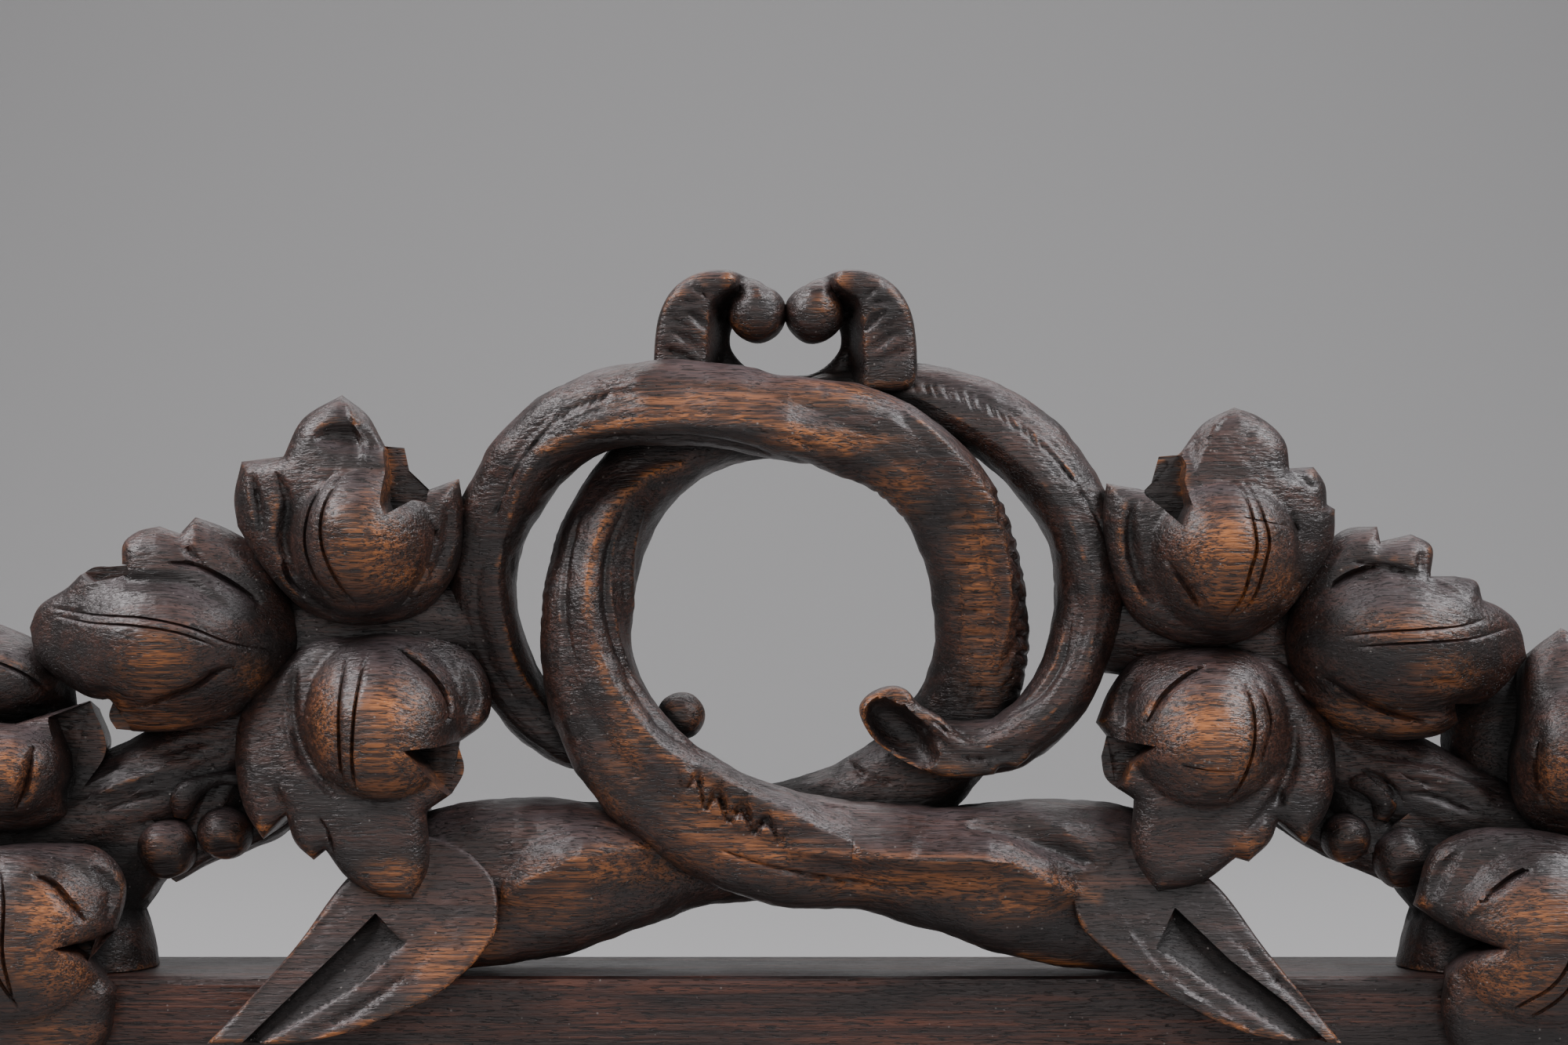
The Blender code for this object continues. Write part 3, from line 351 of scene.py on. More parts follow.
LEAVES = {
    "left_upper": Leaf(
        28, 5.0,
        ((435, 503, TIP), (470, 530), (492, 569, TIP), (516, 571, TIP), (529, 632, TIP), (585, 610, TIP),
         (592, 660), (575, 740), (540, 779), (475, 797), (395, 782), (345, 735), (302, 671, TIP),
         (297, 640), (306, 588, TIP), (363, 582, TIP), (385, 535)),
        balls=((462, 695, 92, 96, 9.5),),
        strokes=(
            cut(*VEIN, (425, 600), (395, 650), (390, 700), (400, 730), (430, 775)),
            cut(*VEIN, (440, 600), (412, 650), (410, 692), (424, 730), (462, 782)),
            cut(6, 2.0, (556, 672), (548, 710), (535, 740), (512, 772)),
            cut(4.5, 1.6, (360, 712), (368, 736), (392, 762)),
            ridge(7, 1.4, (440, 503), (452, 535), (461, 565), (464, 590)),
            hollow(26, 2.6, (400, 560), (430, 556), (458, 562), (480, 575)),
            hollow(14, 2.0, (352, 600), (366, 640), (362, 690), (380, 740)),
            hollow(11, 1.5, (572, 640), (566, 700), (545, 745)),
            hollow(9, 1.4, (320, 600), (330, 640), (335, 690)),
        ),
        lowered=((4.0, ((500, 656), (494, 640), (495, 600), (490, 572), (500, 556), (545, 560), (545, 640),
                        (528, 637))),),
    ),
    "left_lower": Leaf(
        29, 3.5,
        ((471, 800), (584, 818), (623, 870), (623, 914), (584, 948, TIP), (591, 983), (575, 1013, TIP),
         (545, 1033, TIP), (546, 1108), (529, 1152, TIP), (480, 1142), (443, 1119), (417, 1083, TIP),
         (401, 1096, TIP), (378, 1074), (367, 1039, TIP), (336, 1070, TIP), (315, 1039), (302, 992),
         (306, 914), (350, 850), (400, 812)),
        balls=((487, 915, 100, 108, 10),),
        strokes=(
            cut(*VEIN, (444, 832), (437, 862), (433, 892), (432, 934), (434, 969), (438, 1004)),
            cut(*VEIN, (474, 827), (462, 855), (455, 887), (450, 929), (449, 969), (454, 1013)),
            cut(6.5, 2.4, (506, 827), (529, 847), (549, 865), (564, 887), (571, 909), (569, 922)),
            hollow(15, 1.8, (378, 850), (372, 900), (386, 960), (430, 1020)),
            hollow(12, 1.5, (590, 850), (600, 890), (585, 930)),
            cut(3, 0.8, (405, 1040), (420, 1065), (425, 1090)),
            hollow(10, 1.2, (350, 1000), (360, 1025), (366, 1040)),
        ),
        lowered=((4.8, ((524, 953), (560, 951), (600, 944), (612, 1035), (575, 1016), (560, 1002),
                        (542, 975))),),
        lean=(0, -0.24),
    ),
    "left_outer": Leaf(
        26, 5.5,
        ((35, 800, TIP), (44, 778), (88, 748), (117, 724), (161, 725, TIP), (161, 690), (176, 678),
         (205, 671, TIP), (232, 680, TIP), (249, 659, TIP), (285, 672), (330, 700), (365, 760), (381, 822),
         (352, 875), (308, 910), (264, 925), (191, 933), (147, 930, TIP), (138, 915), (144, 892, TIP),
         (117, 889), (88, 875), (44, 839)),
        balls=((212, 824, 150, 92, 6.5),),
        swell=1.15,
        strokes=(
            cut(*FINE_VEIN, (60, 774), (119, 784), (181, 788), (240, 800), (300, 822), (352, 828)),
            cut(*FINE_VEIN, (66, 784), (112, 794), (170, 798), (230, 808), (280, 826)),
            cut(5.5, 2.0, (300, 849), (273, 857), (250, 873), (215, 887), (176, 902)),
            cut(5, 1.8, (211, 717), (238, 719), (273, 732), (307, 753), (337, 778)),
            hollow(14, 1.6, (120, 735), (170, 742), (230, 745), (290, 775)),
            hollow(8, 1.2, (228, 684), (242, 705), (262, 722)),
        ),
        lowered=((5.0, ((100, 730), (118, 720), (165, 720), (168, 731), (140, 738), (118, 742))),
                 (5.0, ((146, 893), (152, 905), (165, 925), (160, 940), (130, 940), (130, 890)))),
    ),
    "left_far": Leaf(
        27, 5.0,
        ((26, 921, TIP), (112, 894, TIP), (132, 958), (102, 1007), (80, 1042), (0, 1058), (-50, 1045),
         (-95, 1010, TIP), (-85, 960), (-50, 925)),
        balls=((10, 985, 74, 60, 7),),
        strokes=(cut(8, 2.4, (43, 950), (36, 975), (28, 1005), (18, 1034)),
                 cut(*VEIN, (-25, 935), (-40, 975), (-30, 1020))),
        lowered=((6.0, ((62, 915), (70, 935), (82, 965), (84, 990), (76, 1010), (78, 1060), (150, 1020),
                        (150, 880))),),
    ),
    "left_far_upper": Leaf(
        18, 4.0,
        ((95, 905, TIP), (85, 850), (40, 812), (0, 795, TIP), (-60, 790), (-110, 812, TIP), (-105, 870),
         (-60, 930), (40, 945)),
        balls=((10, 865, 70, 55, 6),),
        strokes=(cut(*VEIN, (-60, 830), (-20, 840), (30, 860), (70, 890)),
                 cut(5, 1.6, (20, 900), (45, 905), (70, 900))),
    ),
    "left_low": Leaf(
        33, 3.0,
        ((0, 1078), (60, 1075), (130, 1085), (158, 1120), (155, 1165), (148, 1186, TIP), (106, 1202, TIP),
         (130, 1240), (150, 1262, TIP), (140, 1320), (100, 1375, TIP), (55, 1365, TIP), (15, 1405, TIP),
         (-50, 1375), (-95, 1310, TIP), (-125, 1330, TIP), (-160, 1250), (-160, 1160), (-100, 1095)),
        balls=((20, 1195, 112, 112, 6.6),),
        strokes=(
            cut(7.5, 2.4, (41, 1115), (69, 1132), (91, 1157), (110, 1178)),
            cut(*VEIN, (-2, 1099), (4, 1149), (3, 1218), (17, 1276)),
            cut(*VEIN, (-22, 1105), (-16, 1150), (-14, 1218), (0, 1251), (28, 1290)),
            hollow(12, 1.6, (118, 1105), (140, 1135), (135, 1170)),
        ),
        lowered=((4.8, ((80, 1204), (118, 1199), (150, 1186), (200, 1170), (205, 1290), (152, 1264),
                        (116, 1228))),),
    ),
    "right_upper": Leaf(
        28, 5.0,
        ((1575, 519, TIP), (1537, 538), (1502, 580, TIP), (1478, 582, TIP), (1466, 626, TIP),
         (1412, 616, TIP), (1407, 650), (1415, 720), (1453, 795), (1500, 818), (1558, 824), (1620, 800),
         (1665, 750), (1701, 690), (1704, 649, TIP), (1693, 643, TIP), (1691, 618), (1676, 595, TIP),
         (1643, 597, TIP), (1640, 565), (1605, 530)),
        balls=((1566, 712, 98, 98, 9.5),),
        strokes=(
            cut(*VEIN, (1575, 613), (1592, 640), (1600, 670), (1603, 699), (1596, 725), (1586, 758),
                (1558, 798)),
            cut(*VEIN, (1586, 615), (1603, 636), (1613, 662), (1619, 691), (1613, 720), (1603, 754),
                (1579, 790)),
            cut(5.5, 2.0, (1488, 712), (1508, 737), (1525, 763), (1531, 780)),
            cut(4, 1.4, (1659, 737), (1647, 752), (1622, 790)),
            hollow(9, 1.2, (1649, 650), (1656, 699), (1651, 737), (1636, 772)),
            hollow(13, 2.0, (1447, 636), (1443, 678), (1453, 731), (1474, 775)),
            ridge(6, 1.0, (1575, 519), (1554, 537), (1542, 552), (1539, 575)),
            hollow(13, 1.2, (1527, 556), (1520, 575), (1522, 600)),
            hollow(8, 1.0, (1650, 604), (1662, 612), (1678, 624)),
            cut(1.2, 0.4, (1584, 659), (1614, 665), (1643, 671)),
        ),
        lowered=((4.0, ((1502, 670), (1514, 645), (1508, 612), (1511, 592), (1503, 572), (1466, 566),
                        (1454, 610), (1462, 632), (1482, 648))),),
    ),
    "right_lower": Leaf(
        29, 3.5,
        ((1575, 822), (1500, 826), (1453, 837), (1415, 880), (1398, 921, TIP), (1411, 938, TIP),
         (1405, 965, TIP), (1410, 990), (1445, 1018, TIP), (1445, 1089), (1474, 1142, TIP), (1537, 1123),
         (1575, 1093, TIP), (1592, 1098, TIP), (1621, 1068), (1628, 1047, TIP), (1664, 1077, TIP),
         (1695, 1030), (1704, 970), (1680, 890), (1640, 845)),
        balls=((1542, 925, 104, 108, 10),),
        strokes=(
            cut(*VEIN, (1584, 866), (1597, 897), (1601, 927), (1597, 962), (1584, 996), (1560, 1031)),
            cut(*VEIN, (1605, 869), (1616, 897), (1621, 923), (1614, 949), (1605, 982)),
            cut(5.5, 2.2, (1540, 849), (1514, 864), (1488, 886), (1471, 910), (1462, 925)),
            hollow(12, 1.6, (1450, 860), (1436, 895), (1436, 925)),
            cut(7, 2.4, (1705, 925), (1680, 905), (1664, 890), (1650, 868)),
            hollow(15, 1.8, (1652, 920), (1650, 970), (1620, 1030), (1590, 1060)),
            cut(1.2, 0.4, (1500, 974), (1540, 982), (1580, 985)),
            hollow(9, 1.0, (1632, 1000), (1634, 1025), (1630, 1046)),
        ),
        lowered=((4.8, ((1469, 949), (1435, 946), (1396, 934), (1394, 1004), (1420, 1010), (1434, 995),
                        (1442, 975))),),
        lean=(0, -0.24),
    ),
    "right_outer": Leaf(
        26, 5.5,
        ((1951, 839, TIP), (1938, 795), (1911, 773), (1887, 764, TIP), (1883, 743), (1852, 734, TIP),
         (1820, 734, TIP), (1824, 695), (1799, 681, TIP), (1759, 690, TIP), (1757, 671, TIP), (1720, 674),
         (1675, 715), (1650, 770), (1640, 820), (1653, 879), (1676, 912), (1732, 937), (1792, 943),
         (1845, 932), (1860, 920, TIP), (1852, 897, TIP), (1892, 895), (1925, 870)),
        balls=((1795, 822, 150, 92, 6.5),),
        swell=1.15,
        strokes=(
            cut(*FINE_VEIN, (1709, 812), (1760, 806), (1810, 803), (1870, 797), (1900, 788)),
            cut(*FINE_VEIN, (1722, 826), (1770, 822), (1824, 819), (1880, 814), (1934, 798)),
            hollow(8, 0.9, (1824, 866), (1842, 871), (1862, 878)),
            cut(6, 2.2, (1697, 752), (1712, 740), (1727, 732), (1762, 722)),
            cut(5, 2.0, (1686, 861), (1716, 879), (1743, 895), (1782, 911), (1826, 921)),
            hollow(12, 1.5, (1720, 715), (1760, 722), (1830, 745), (1880, 768)),
            hollow(8, 1.0, (1815, 700), (1812, 720), (1815, 735)),
        ),
    ),
    "right_far": Leaf(
        28, 5.0,
        ((1994, 801, TIP), (1955, 833), (1938, 921), (1927, 974), (1934, 1027), (1973, 1069), (2020, 1085),
         (2080, 1060, TIP), (2095, 1000), (2110, 940, TIP), (2080, 900, TIP), (2085, 850, TIP),
         (2040, 825, TIP)),
        balls=((2014, 965, 76, 88, 7),),
        strokes=(cut(5.5, 2.0, (1964, 930), (1961, 960), (1964, 1000), (1979, 1036)),
                 cut(*VEIN, (2035, 880), (2045, 930), (2045, 980), (2025, 1040))),
    ),
    "right_low": Leaf(
        33, 3.0,
        ((1937, 1056), (1870, 1060), (1832, 1080), (1803, 1154, TIP), (1846, 1182), (1902, 1202, TIP),
         (1866, 1218), (1843, 1240, TIP), (1838, 1290), (1860, 1350), (1900, 1385, TIP), (1940, 1360, TIP),
         (1985, 1405, TIP), (2050, 1370), (2090, 1310, TIP), (2125, 1325, TIP), (2160, 1240), (2160, 1160),
         (2110, 1095), (2020, 1070)),
        balls=((1975, 1195, 118, 116, 6.6),),
        strokes=(
            cut(6, 2.2, (1955, 1108), (1935, 1117), (1915, 1131), (1887, 1153)),
            cut(*VEIN, (1925, 1290), (1950, 1276), (1975, 1262), (2003, 1225), (2010, 1180)),
            cut(*VEIN, (1945, 1300), (1975, 1284), (2000, 1262), (2018, 1225), (2028, 1180)),
            hollow(12, 1.6, (1862, 1085), (1838, 1120), (1830, 1150)),
            ridge(9, 1.2, (1858, 1182), (1874, 1162), (1890, 1146), (1912, 1136)),
        ),
    ),
}

# Strokes on the branch that starts low at the right and crosses in front
FRONT_BRANCH_STROKES = (
    arris(42, 3.2, (872, 588), (820, 610), (780, 650), (757, 700), (750, 780), (760, 825), (775, 870),
          (800, 910), (840, 957), (880, 985), (950, 1020), (1010, 1046), (1080, 1075), (1150, 1094),
          (1290, 1100)),
    hollow(10, 1.3, (800, 640), (778, 690), (772, 780), (786, 835), (808, 885), (842, 930), (885, 962),
           (940, 990), (1000, 1016)),
    arris(8, 1.0, (822, 640), (806, 700), (804, 790), (822, 850), (850, 900)),
    hollow(8, 0.9, (738, 660), (724, 720), (722, 790), (735, 850)),
    hollow(6, 1.1, (868, 940), (905, 972), (950, 996), (1010, 1016), (1080, 1032)),
    hollow(5, 0.8, (900, 1078), (980, 1104), (1060, 1120), (1160, 1132)),
    zigzag(7, 1.8, (858, 975), (872, 1008), (888, 992), (900, 1030), (915, 1010), (930, 1046), (947, 1026),
           (962, 1062), (978, 1042), (994, 1072), (1012, 1054)),
    hollow(15, 1.4, (870, 978), (905, 1008), (950, 1036), (1000, 1058)),
    arris(42, 3.2, (1000, 1082), (1090, 1092), (1200, 1097), (1290, 1104), (1340, 1130), (1400, 1146)),
    hollow(26, 2.8, (1230, 1052), (1290, 1056), (1340, 1076), (1400, 1106)),
    arris(36, 2.2, (1392, 800), (1380, 860), (1350, 900), (1310, 930), (1270, 948), (1225, 962)),
    hollow(9, 0.9, (1366, 790), (1352, 850), (1325, 890), (1290, 915)),
    arris(40, 2.2, (1110, 486), (1180, 512), (1250, 548), (1318, 600), (1368, 670), (1392, 740), (1398, 800)),
    *row(2.4, 0.3, 7.5, 44, -3, (772, 830), (788, 884), (814, 935), (856, 985)),
    *row(4.4, 0.55, 15, 26, 62, (1160, 490), (1250, 516), (1340, 578), (1402, 664), (1426, 720)),
    *row(3.6, 0.4, 15, 22, -35, (722, 640), (702, 700), (694, 790), (706, 870), (738, 945), (790, 1008)),
)
# Strokes on the branch that starts low at the left and crosses behind
BACK_BRANCH_STROKES = (
    arris(42, 3.3, (640, 690), (668, 610), (700, 572), (760, 545), (830, 537), (900, 536), (1010, 556),
          (1080, 590), (1140, 640), (1180, 700), (1196, 760), (1194, 830), (1176, 880)),
    hollow(5, 0.8, (740, 556), (820, 548), (900, 550), (990, 568)),
    hollow(8, 0.9, (1000, 566), (1060, 592), (1115, 634), (1160, 695), (1176, 760)),
    arris(24, 2.2, (1150, 520), (1205, 570), (1250, 630), (1276, 700), (1284, 780), (1268, 860)),
    zigzag(5, 1.0, (1230, 590), (1252, 606), (1250, 626), (1272, 642), (1268, 664), (1290, 682),
           (1282, 704), (1302, 724), (1288, 746), (1306, 768), (1290, 790), (1305, 812), (1288, 834),
           (1296, 858), (1278, 878), (1280, 900)),
    *row(7, 1.0, 23, 34, 14, (1268, 620), (1298, 700), (1310, 780), (1302, 850), (1286, 905)),
    *row(2.4, 0.4, 7, 66, 3, (1238, 800), (1238, 850), (1232, 905)),
    *row(4.5, 0.5, 19, 70, -6, (1200, 640), (1238, 720), (1246, 790)),
    *row(3.0, 0.35, 16, 44, 20, (960, 540), (1040, 560), (1110, 600), (1160, 650)),
    *row(4.0, 0.5, 14, 24, -52, (628, 660), (656, 600), (706, 540), (770, 504)),
    arris(50, 3.0, (640, 1147), (700, 1112), (760, 1090), (830, 1084), (870, 1088)),
    *row(6.0, 0.7, 17, 20, 35, (1080, 970), (1110, 990), (1140, 1000)),
    arris(28, 2.2, (640, 690), (632, 740), (640, 800), (662, 860), (700, 910)),
)
HOOK_STROKES = (
    hollow(7, 1.0, (1163, 914), (1190, 936), (1215, 956)),
    ridge(5, 0.6, (1114, 911), (1133, 898), (1152, 900), (1166, 914), (1180, 938), (1196, 960)),
    cut(3, 0.8, (1176, 908), (1210, 934), (1250, 957)),
    hollow(8, 0.7, (1230, 968), (1265, 966), (1300, 960)),
    *row(2.4, 0.4, 8, 26, 40, (1180, 925), (1215, 962), (1260, 972)),
)
# Scale-like gouges on the outer sides of the two curls, from the pixel column between them
CURLS_MIDDLE = 1003
CURL_STROKES = tuple(
    hollow(width, depth, *[(CURLS_MIDDLE + side * across, down) for across, down in course])
    for side in (-1, 1)
    for width, depth, course in (
        (9, 0.9, ((128, 396), (114, 406), (100, 424))),
        (9, 0.9, ((150, 420), (130, 430), (110, 446))),
        (8, 0.8, ((160, 442), (140, 450), (114, 462))),
        (7, 0.7, ((140, 390), (126, 384), (108, 386))),
        (5, 0.6, ((120, 366), (108, 372), (98, 384))),
        (6, 0.5, ((150, 402), (136, 412), (120, 420))),
    )
)

# Obliquely cut branch ends: outline of the cut face in millimetres, and the split down its middle
LEFT_CUT = (
    (-112.9, 17.3), (-97, 34.8), (-86.3, 49.1), (-78, 56), (-66.4, 55), (-58.1, 48), (-57, 39.6), (-66, 28.1),
    (-78, 22), (-92, 17.9),
)
RIGHT_CUT = (
    (108.5, 17.4), (95.2, 34.1), (83.5, 48.8), (74, 54), (64, 54), (57, 48), (58, 40), (65, 33), (78, 24.5),
    (92, 18.8),
)
CUT_FRONT = 46.0
CUT_LEAN = 0.36
CUT_WALLS = ((0.985, 43.0), (0.94, 31.0), (0.9, 6.0))
# The split in pixels: the upper line, where it is deepest, and the lower line, where it runs out
LEFT_SPLIT = (
    ((478, 1166), (440, 1205), (380, 1262), (314, 1326)),
    ((478, 1166), (518, 1203), (450, 1262), (330, 1332)),
)
RIGHT_SPLIT = (
    ((1500, 1159), (1567, 1223), (1635, 1274), (1684, 1320)),
    ((1500, 1159), (1474, 1209), (1543, 1256), (1660, 1330)),
)
SPLIT_DEPTH = CUT_FRONT - 8
SPLIT_DROP = 3.4
CUT_END_STROKES = (
    ridge(5, 0.5, (443, 1135), (368, 1220), (290, 1310)),
    hollow(9, 0.8, (520, 1240), (450, 1290), (380, 1325)),
    ridge(5, 0.5, (1420, 1160), (1480, 1240), (1600, 1318)),
    hollow(9, 0.8, (1580, 1200), (1640, 1260), (1690, 1310)),
    *row(2.6, 0.4, 10, 38, 14, (1432, 1140), (1470, 1215), (1540, 1275), (1610, 1318)),
    *row(2.6, 0.4, 10, 38, 166, (590, 1150), (540, 1225), (470, 1285), (400, 1326)),
    *row(2.4, 0.35, 16, 34, 8, (1520, 1140), (1580, 1200), (1650, 1270)),
)

# Stems behind the leaves: x, z, depth of the middle and width, in millimetres
STEMS = (
    ((-56, 98, 14, 18), (-72, 99, 14, 24), (-94, 96, 14, 28), (-112, 78, 13, 22), (-128, 66, 14, 21),
     (-140, 60, 15, 22), (-163, 48, 16, 20)),
    ((56, 98, 14, 18), (72, 99, 14, 24), (94, 96, 14, 28), (110, 76, 13, 22), (133, 62, 14, 21),
     (146, 56, 15, 22), (163, 48, 16, 20)),
    ((-130, 60, 12, 22), (-137.5, 50, 13, 22), (-144, 40, 14, 23), (-142, 33, 14.5, 24), (-141, 24, 15, 26)),
    ((126, 60, 12, 22), (134.5, 50, 13, 22), (140.5, 40, 14, 23.4), (139, 33, 14.5, 25), (138, 24, 15, 26)),
    ((-160, 60, 10, 16), (-163, 72, 10, 18), (-163, 86, 10, 16)),
    ((158, 60, 9, 20), (149.5, 71, 9, 26), (150, 81, 8, 23.5), (154, 91, 8, 9)),
    ((-112, 72, 14, 12), (-117, 62, 15, 13), (-120, 53, 16, 11)),
    ((112, 72, 14, 12), (117, 62, 15, 13), (121, 53, 16, 13)),
    ((-101, 63, 14, 10), (-108.5, 58, 14, 10.5), (-114, 55.6, 15, 10), (-120, 53.5, 16, 10),
     (-127, 49.5, 15, 10)),
    ((100, 63, 14, 10), (108, 58, 14, 10.5), (114, 54.8, 15, 11), (121, 52, 16, 11), (129, 49, 15, 12)),
)
STEM_DEPTH = 24.0
STEM_STATIONS = 110
STEM_SIDES = 64
# Fibres along branches and stems: their length in millimetres, and the radius of a turn, counted in fibres
FIBRE_LENGTH = 16.0
FIBRES_ROUND = 3.4
# Furrows and ridges along the stems, in pixels
STEM_STROKES = (
    hollow(9, 1.3, (1790, 1010), (1830, 1016), (1880, 1036)),
    arris(12, 1.0, (1776, 986), (1830, 990), (1880, 1008), (1905, 1024)),
    hollow(7, 1.0, (1750, 962), (1800, 966), (1850, 976)),
    hollow(10, 1.4, (1788, 1030), (1776, 1006), (1756, 990), (1738, 982)),
    hollow(9, 1.3, (216, 1012), (176, 1018), (124, 1038)),
    arris(12, 1.0, (286, 962), (220, 980), (150, 1002), (112, 1020)),
    hollow(7, 1.0, (300, 944), (240, 950), (170, 972)),
    *row(2.6, 0.35, 8, 52, 12, (1760, 975), (1830, 1000), (1900, 1035)),
    *row(2.6, 0.35, 8, 52, -14, (290, 960), (210, 985), (120, 1030)),
)
SPROUTS = (
    ((-122.8, 59, 21, 3.2), (-122.2, 62.2, 22.5, 5), (-120.4, 64.8, 23, 4.8), (-117, 66.6, 22.5, 3.8),
     (-110, 67.2, 21, 2.4)),
    ((120.6, 58.8, 21, 3.2), (121.3, 62, 22.5, 5), (119.2, 65.2, 23, 4.8), (116, 66.6, 22.5, 3.8),
     (112.8, 67, 21, 2.4)),
)
# Berries and the knob: x, z, depth of the middle, radius, and the flat facet's place as a share of it
BERRIES = (
    (-114, 55.9, 20, 5.6, 0.84), (-125.4, 52.8, 21, 6.2, 0.88), (113.9, 55, 20, 5.2, 0.84),
    (125.1, 51, 21, 6.2, 0.82), (-21.2, 79.6, 19, 4.9, 0.97),
)
FACET_TURN = (0.12, 0.8, -0.58)
NO_FACET = 1.1
BALL_ROWS = 26
BALL_SIDES = 36
BALL_END = 0.06

# Where the stain is worn through: pixel, half width, half height and strength
WORN_SPOTS = (
    (470, 700, 46, 44, 0.85), (500, 735, 50, 18, 0.5), (437, 690, 24, 60, 0.35), (478, 640, 20, 30, 0.35),
    (498, 905, 42, 34, 0.95), (490, 965, 52, 26, 0.8), (415, 915, 18, 56, 0.55), (500, 1120, 34, 22, 0.75),
    (500, 1000, 60, 14, 0.45), (199, 845, 40, 36, 0.8), (190, 915, 50, 16, 0.6), (320, 860, 22, 22, 0.45),
    (1565, 700, 50, 46, 0.95), (1575, 760, 46, 22, 0.7), (1630, 745, 26, 26, 0.4),
    (1545, 925, 56, 44, 0.95), (1560, 975, 46, 30, 0.6), (1590, 1080, 22, 14, 0.7),
    (1842, 860, 40, 22, 0.6), (1800, 800, 60, 20, 0.4), (1740, 915, 60, 22, 0.5), (1800, 925, 50, 14, 0.45),
    (5, 980, 26, 34, 0.8), (60, 1160, 44, 40, 0.8), (60, 1230, 60, 40, 0.6), (70, 1320, 50, 26, 0.4),
    (1965, 1170, 60, 34, 0.75), (1930, 1250, 60, 36, 0.6), (1990, 990, 26, 34, 0.6),
    (1248, 730, 26, 110, 0.75), (1080, 500, 90, 18, 0.5), (900, 510, 120, 16, 0.55),
    (780, 1010, 30, 50, 0.3), (930, 1090, 70, 16, 0.5), (1240, 1130, 130, 18, 0.6),
    (700, 1150, 60, 30, 0.55), (820, 1110, 60, 20, 0.45), (1210, 985, 34, 10, 0.9), (940, 420, 22, 14, 0.4),
    (1050, 390, 20, 16, 0.5), (1340, 1140, 40, 16, 0.5), (900, 1040, 50, 36, 0.8),
    (965, 1088, 70, 24, 0.85), (1245, 700, 30, 60, 0.6), (1255, 830, 28, 70, 0.5),
    (1060, 562, 70, 14, 0.85), (1150, 622, 34, 30, 0.65), (760, 1112, 80, 18, 0.65),
    (1150, 1126, 120, 18, 0.75), (1290, 1152, 60, 18, 0.6), (800, 955, 22, 70, 0.5),
    (560, 1230, 40, 40, 0.5), (620, 1200, 30, 20, 0.6),
)
# Worn lines, each with its half width in pixels and its strength
WORN_LINES = (
    (7, 0.9, ((690, 575), (760, 545), (830, 535), (900, 530), (1010, 545), (1080, 575))),
    (6, 0.9, ((870, 590), (820, 610), (780, 650), (757, 700), (750, 780))),
    (6, 0.6, ((760, 825), (775, 870), (800, 910), (840, 957), (880, 985), (950, 1020), (1010, 1046))),
    (7, 0.7, ((640, 1146), (700, 1110), (760, 1086), (830, 1080))),
    (7, 0.6, ((1000, 1082), (1090, 1092), (1200, 1097), (1290, 1104), (1400, 1146))),
    (5, 0.6, ((495, 573), (497, 610), (493, 650))),
    (5, 0.6, ((1510, 590), (1508, 620), (1514, 650))),
    (6, 0.8, ((524, 953), (545, 975), (562, 1003))),
    (5, 0.7, ((1469, 949), (1450, 968), (1436, 992))),
    (6, 0.6, ((149, 891), (167, 912), (204, 928), (240, 920))),
    (5, 0.6, ((1300, 1218), (1400, 1240), (1467, 1290), (1560, 1330))),
    (5, 0.6, ((622, 1186), (561, 1255), (420, 1325))),
)
# Places that lie in shade, where shade is painted and the edges are not worn: pixel and reach, and how dark
# that painted shade is
SHADED_SPOTS = ((1744, 1008, 44), (262, 1006, 44), (1880, 960, 70))
SHADE_DARK = 0.34
# Painted shade in the splits of the cut ends
SPLIT_DARK = 0.6

# How the surface is marked. A bulge is the turn of the normals along an edge, in radians a millimetre, and
# LEAST_EDGE is the least square of an edge's length that is reckoned with.
LEAST_EDGE = 0.01
MOST_BULGE = 1.5
BULGE_ROUNDS = 3
# Depth is measured behind the front, blurred over cells of a millimetre, and full at DEEP_FULL; it sets how
# much shade is painted into the recesses.
CELL_MARGIN = 12
BLUR_REACH = 3
BLUR_ROUNDS = 3
DEEP_FULL = 10.0
DEEP_START = 0.12
BACK_CLEARED = 0.9
SHARP_ANGLE = math.radians(55)


def roughened(points, size, amount, seed):
    """A soft unevenness at these points: humps about this size, in millimetres."""
    shift = Vector((seed * 13.7, seed * 7.1, seed * 3.3))
    return amount * np.array([noise.noise(Vector(point) / size + shift) for point in points])


def uneven(points, depth, *layers):
    """The depth of these points in x and z, made uneven by layers of a size, an amount and a seed."""
    spots = np.stack([points[:, 0], depth, points[:, 1]], axis=1)
    for size, amount, seed in layers:
        depth = depth + roughened(spots, size, amount, seed)
    return depth


def rim_rise(outline, points, radius):
    """A quarter circle's rise, from 0 on the outline to 1 where it is a radius away."""
    gap, _ = nearest_on(outline, points, closed=True)
    return np.sqrt(1 - (1 - np.clip(gap / radius, 0, 1)) ** 2)


def rim_drop(outline, points, drop, radius):
    """How far a rounded edge takes the surface back."""
    return drop * (1 - rim_rise(outline, points, radius))


def spots_inside(outline, step, rings):
    """Rings of points close behind the rim, and evenly spaced points further in."""
    inward = sideways(np.roll(outline, -1, axis=0) - np.roll(outline, 1, axis=0))
    spots = []
    for ring in rings:
        moved = outline + ring * inward
        gap, _ = nearest_on(outline, moved, closed=True)
        spots.append(moved[inside(outline, moved) & (gap > RING_CLEAR * ring)])
    low, high = outline.min(axis=0), outline.max(axis=0)
    grid = []
    for i, z in enumerate(np.arange(low[1], high[1], step * math.sqrt(0.75))):
        x = np.arange(low[0] + (i % 2) * step / 2, high[0], step)
        grid.append(np.stack([x, np.full_like(x, z)], axis=1))
    grid = np.concatenate(grid)
    gap, _ = nearest_on(outline, grid, closed=True)
    spots.append(grid[inside(outline, grid) & (gap > rings[-1] + 0.5 * step)])
    return np.concatenate(spots)


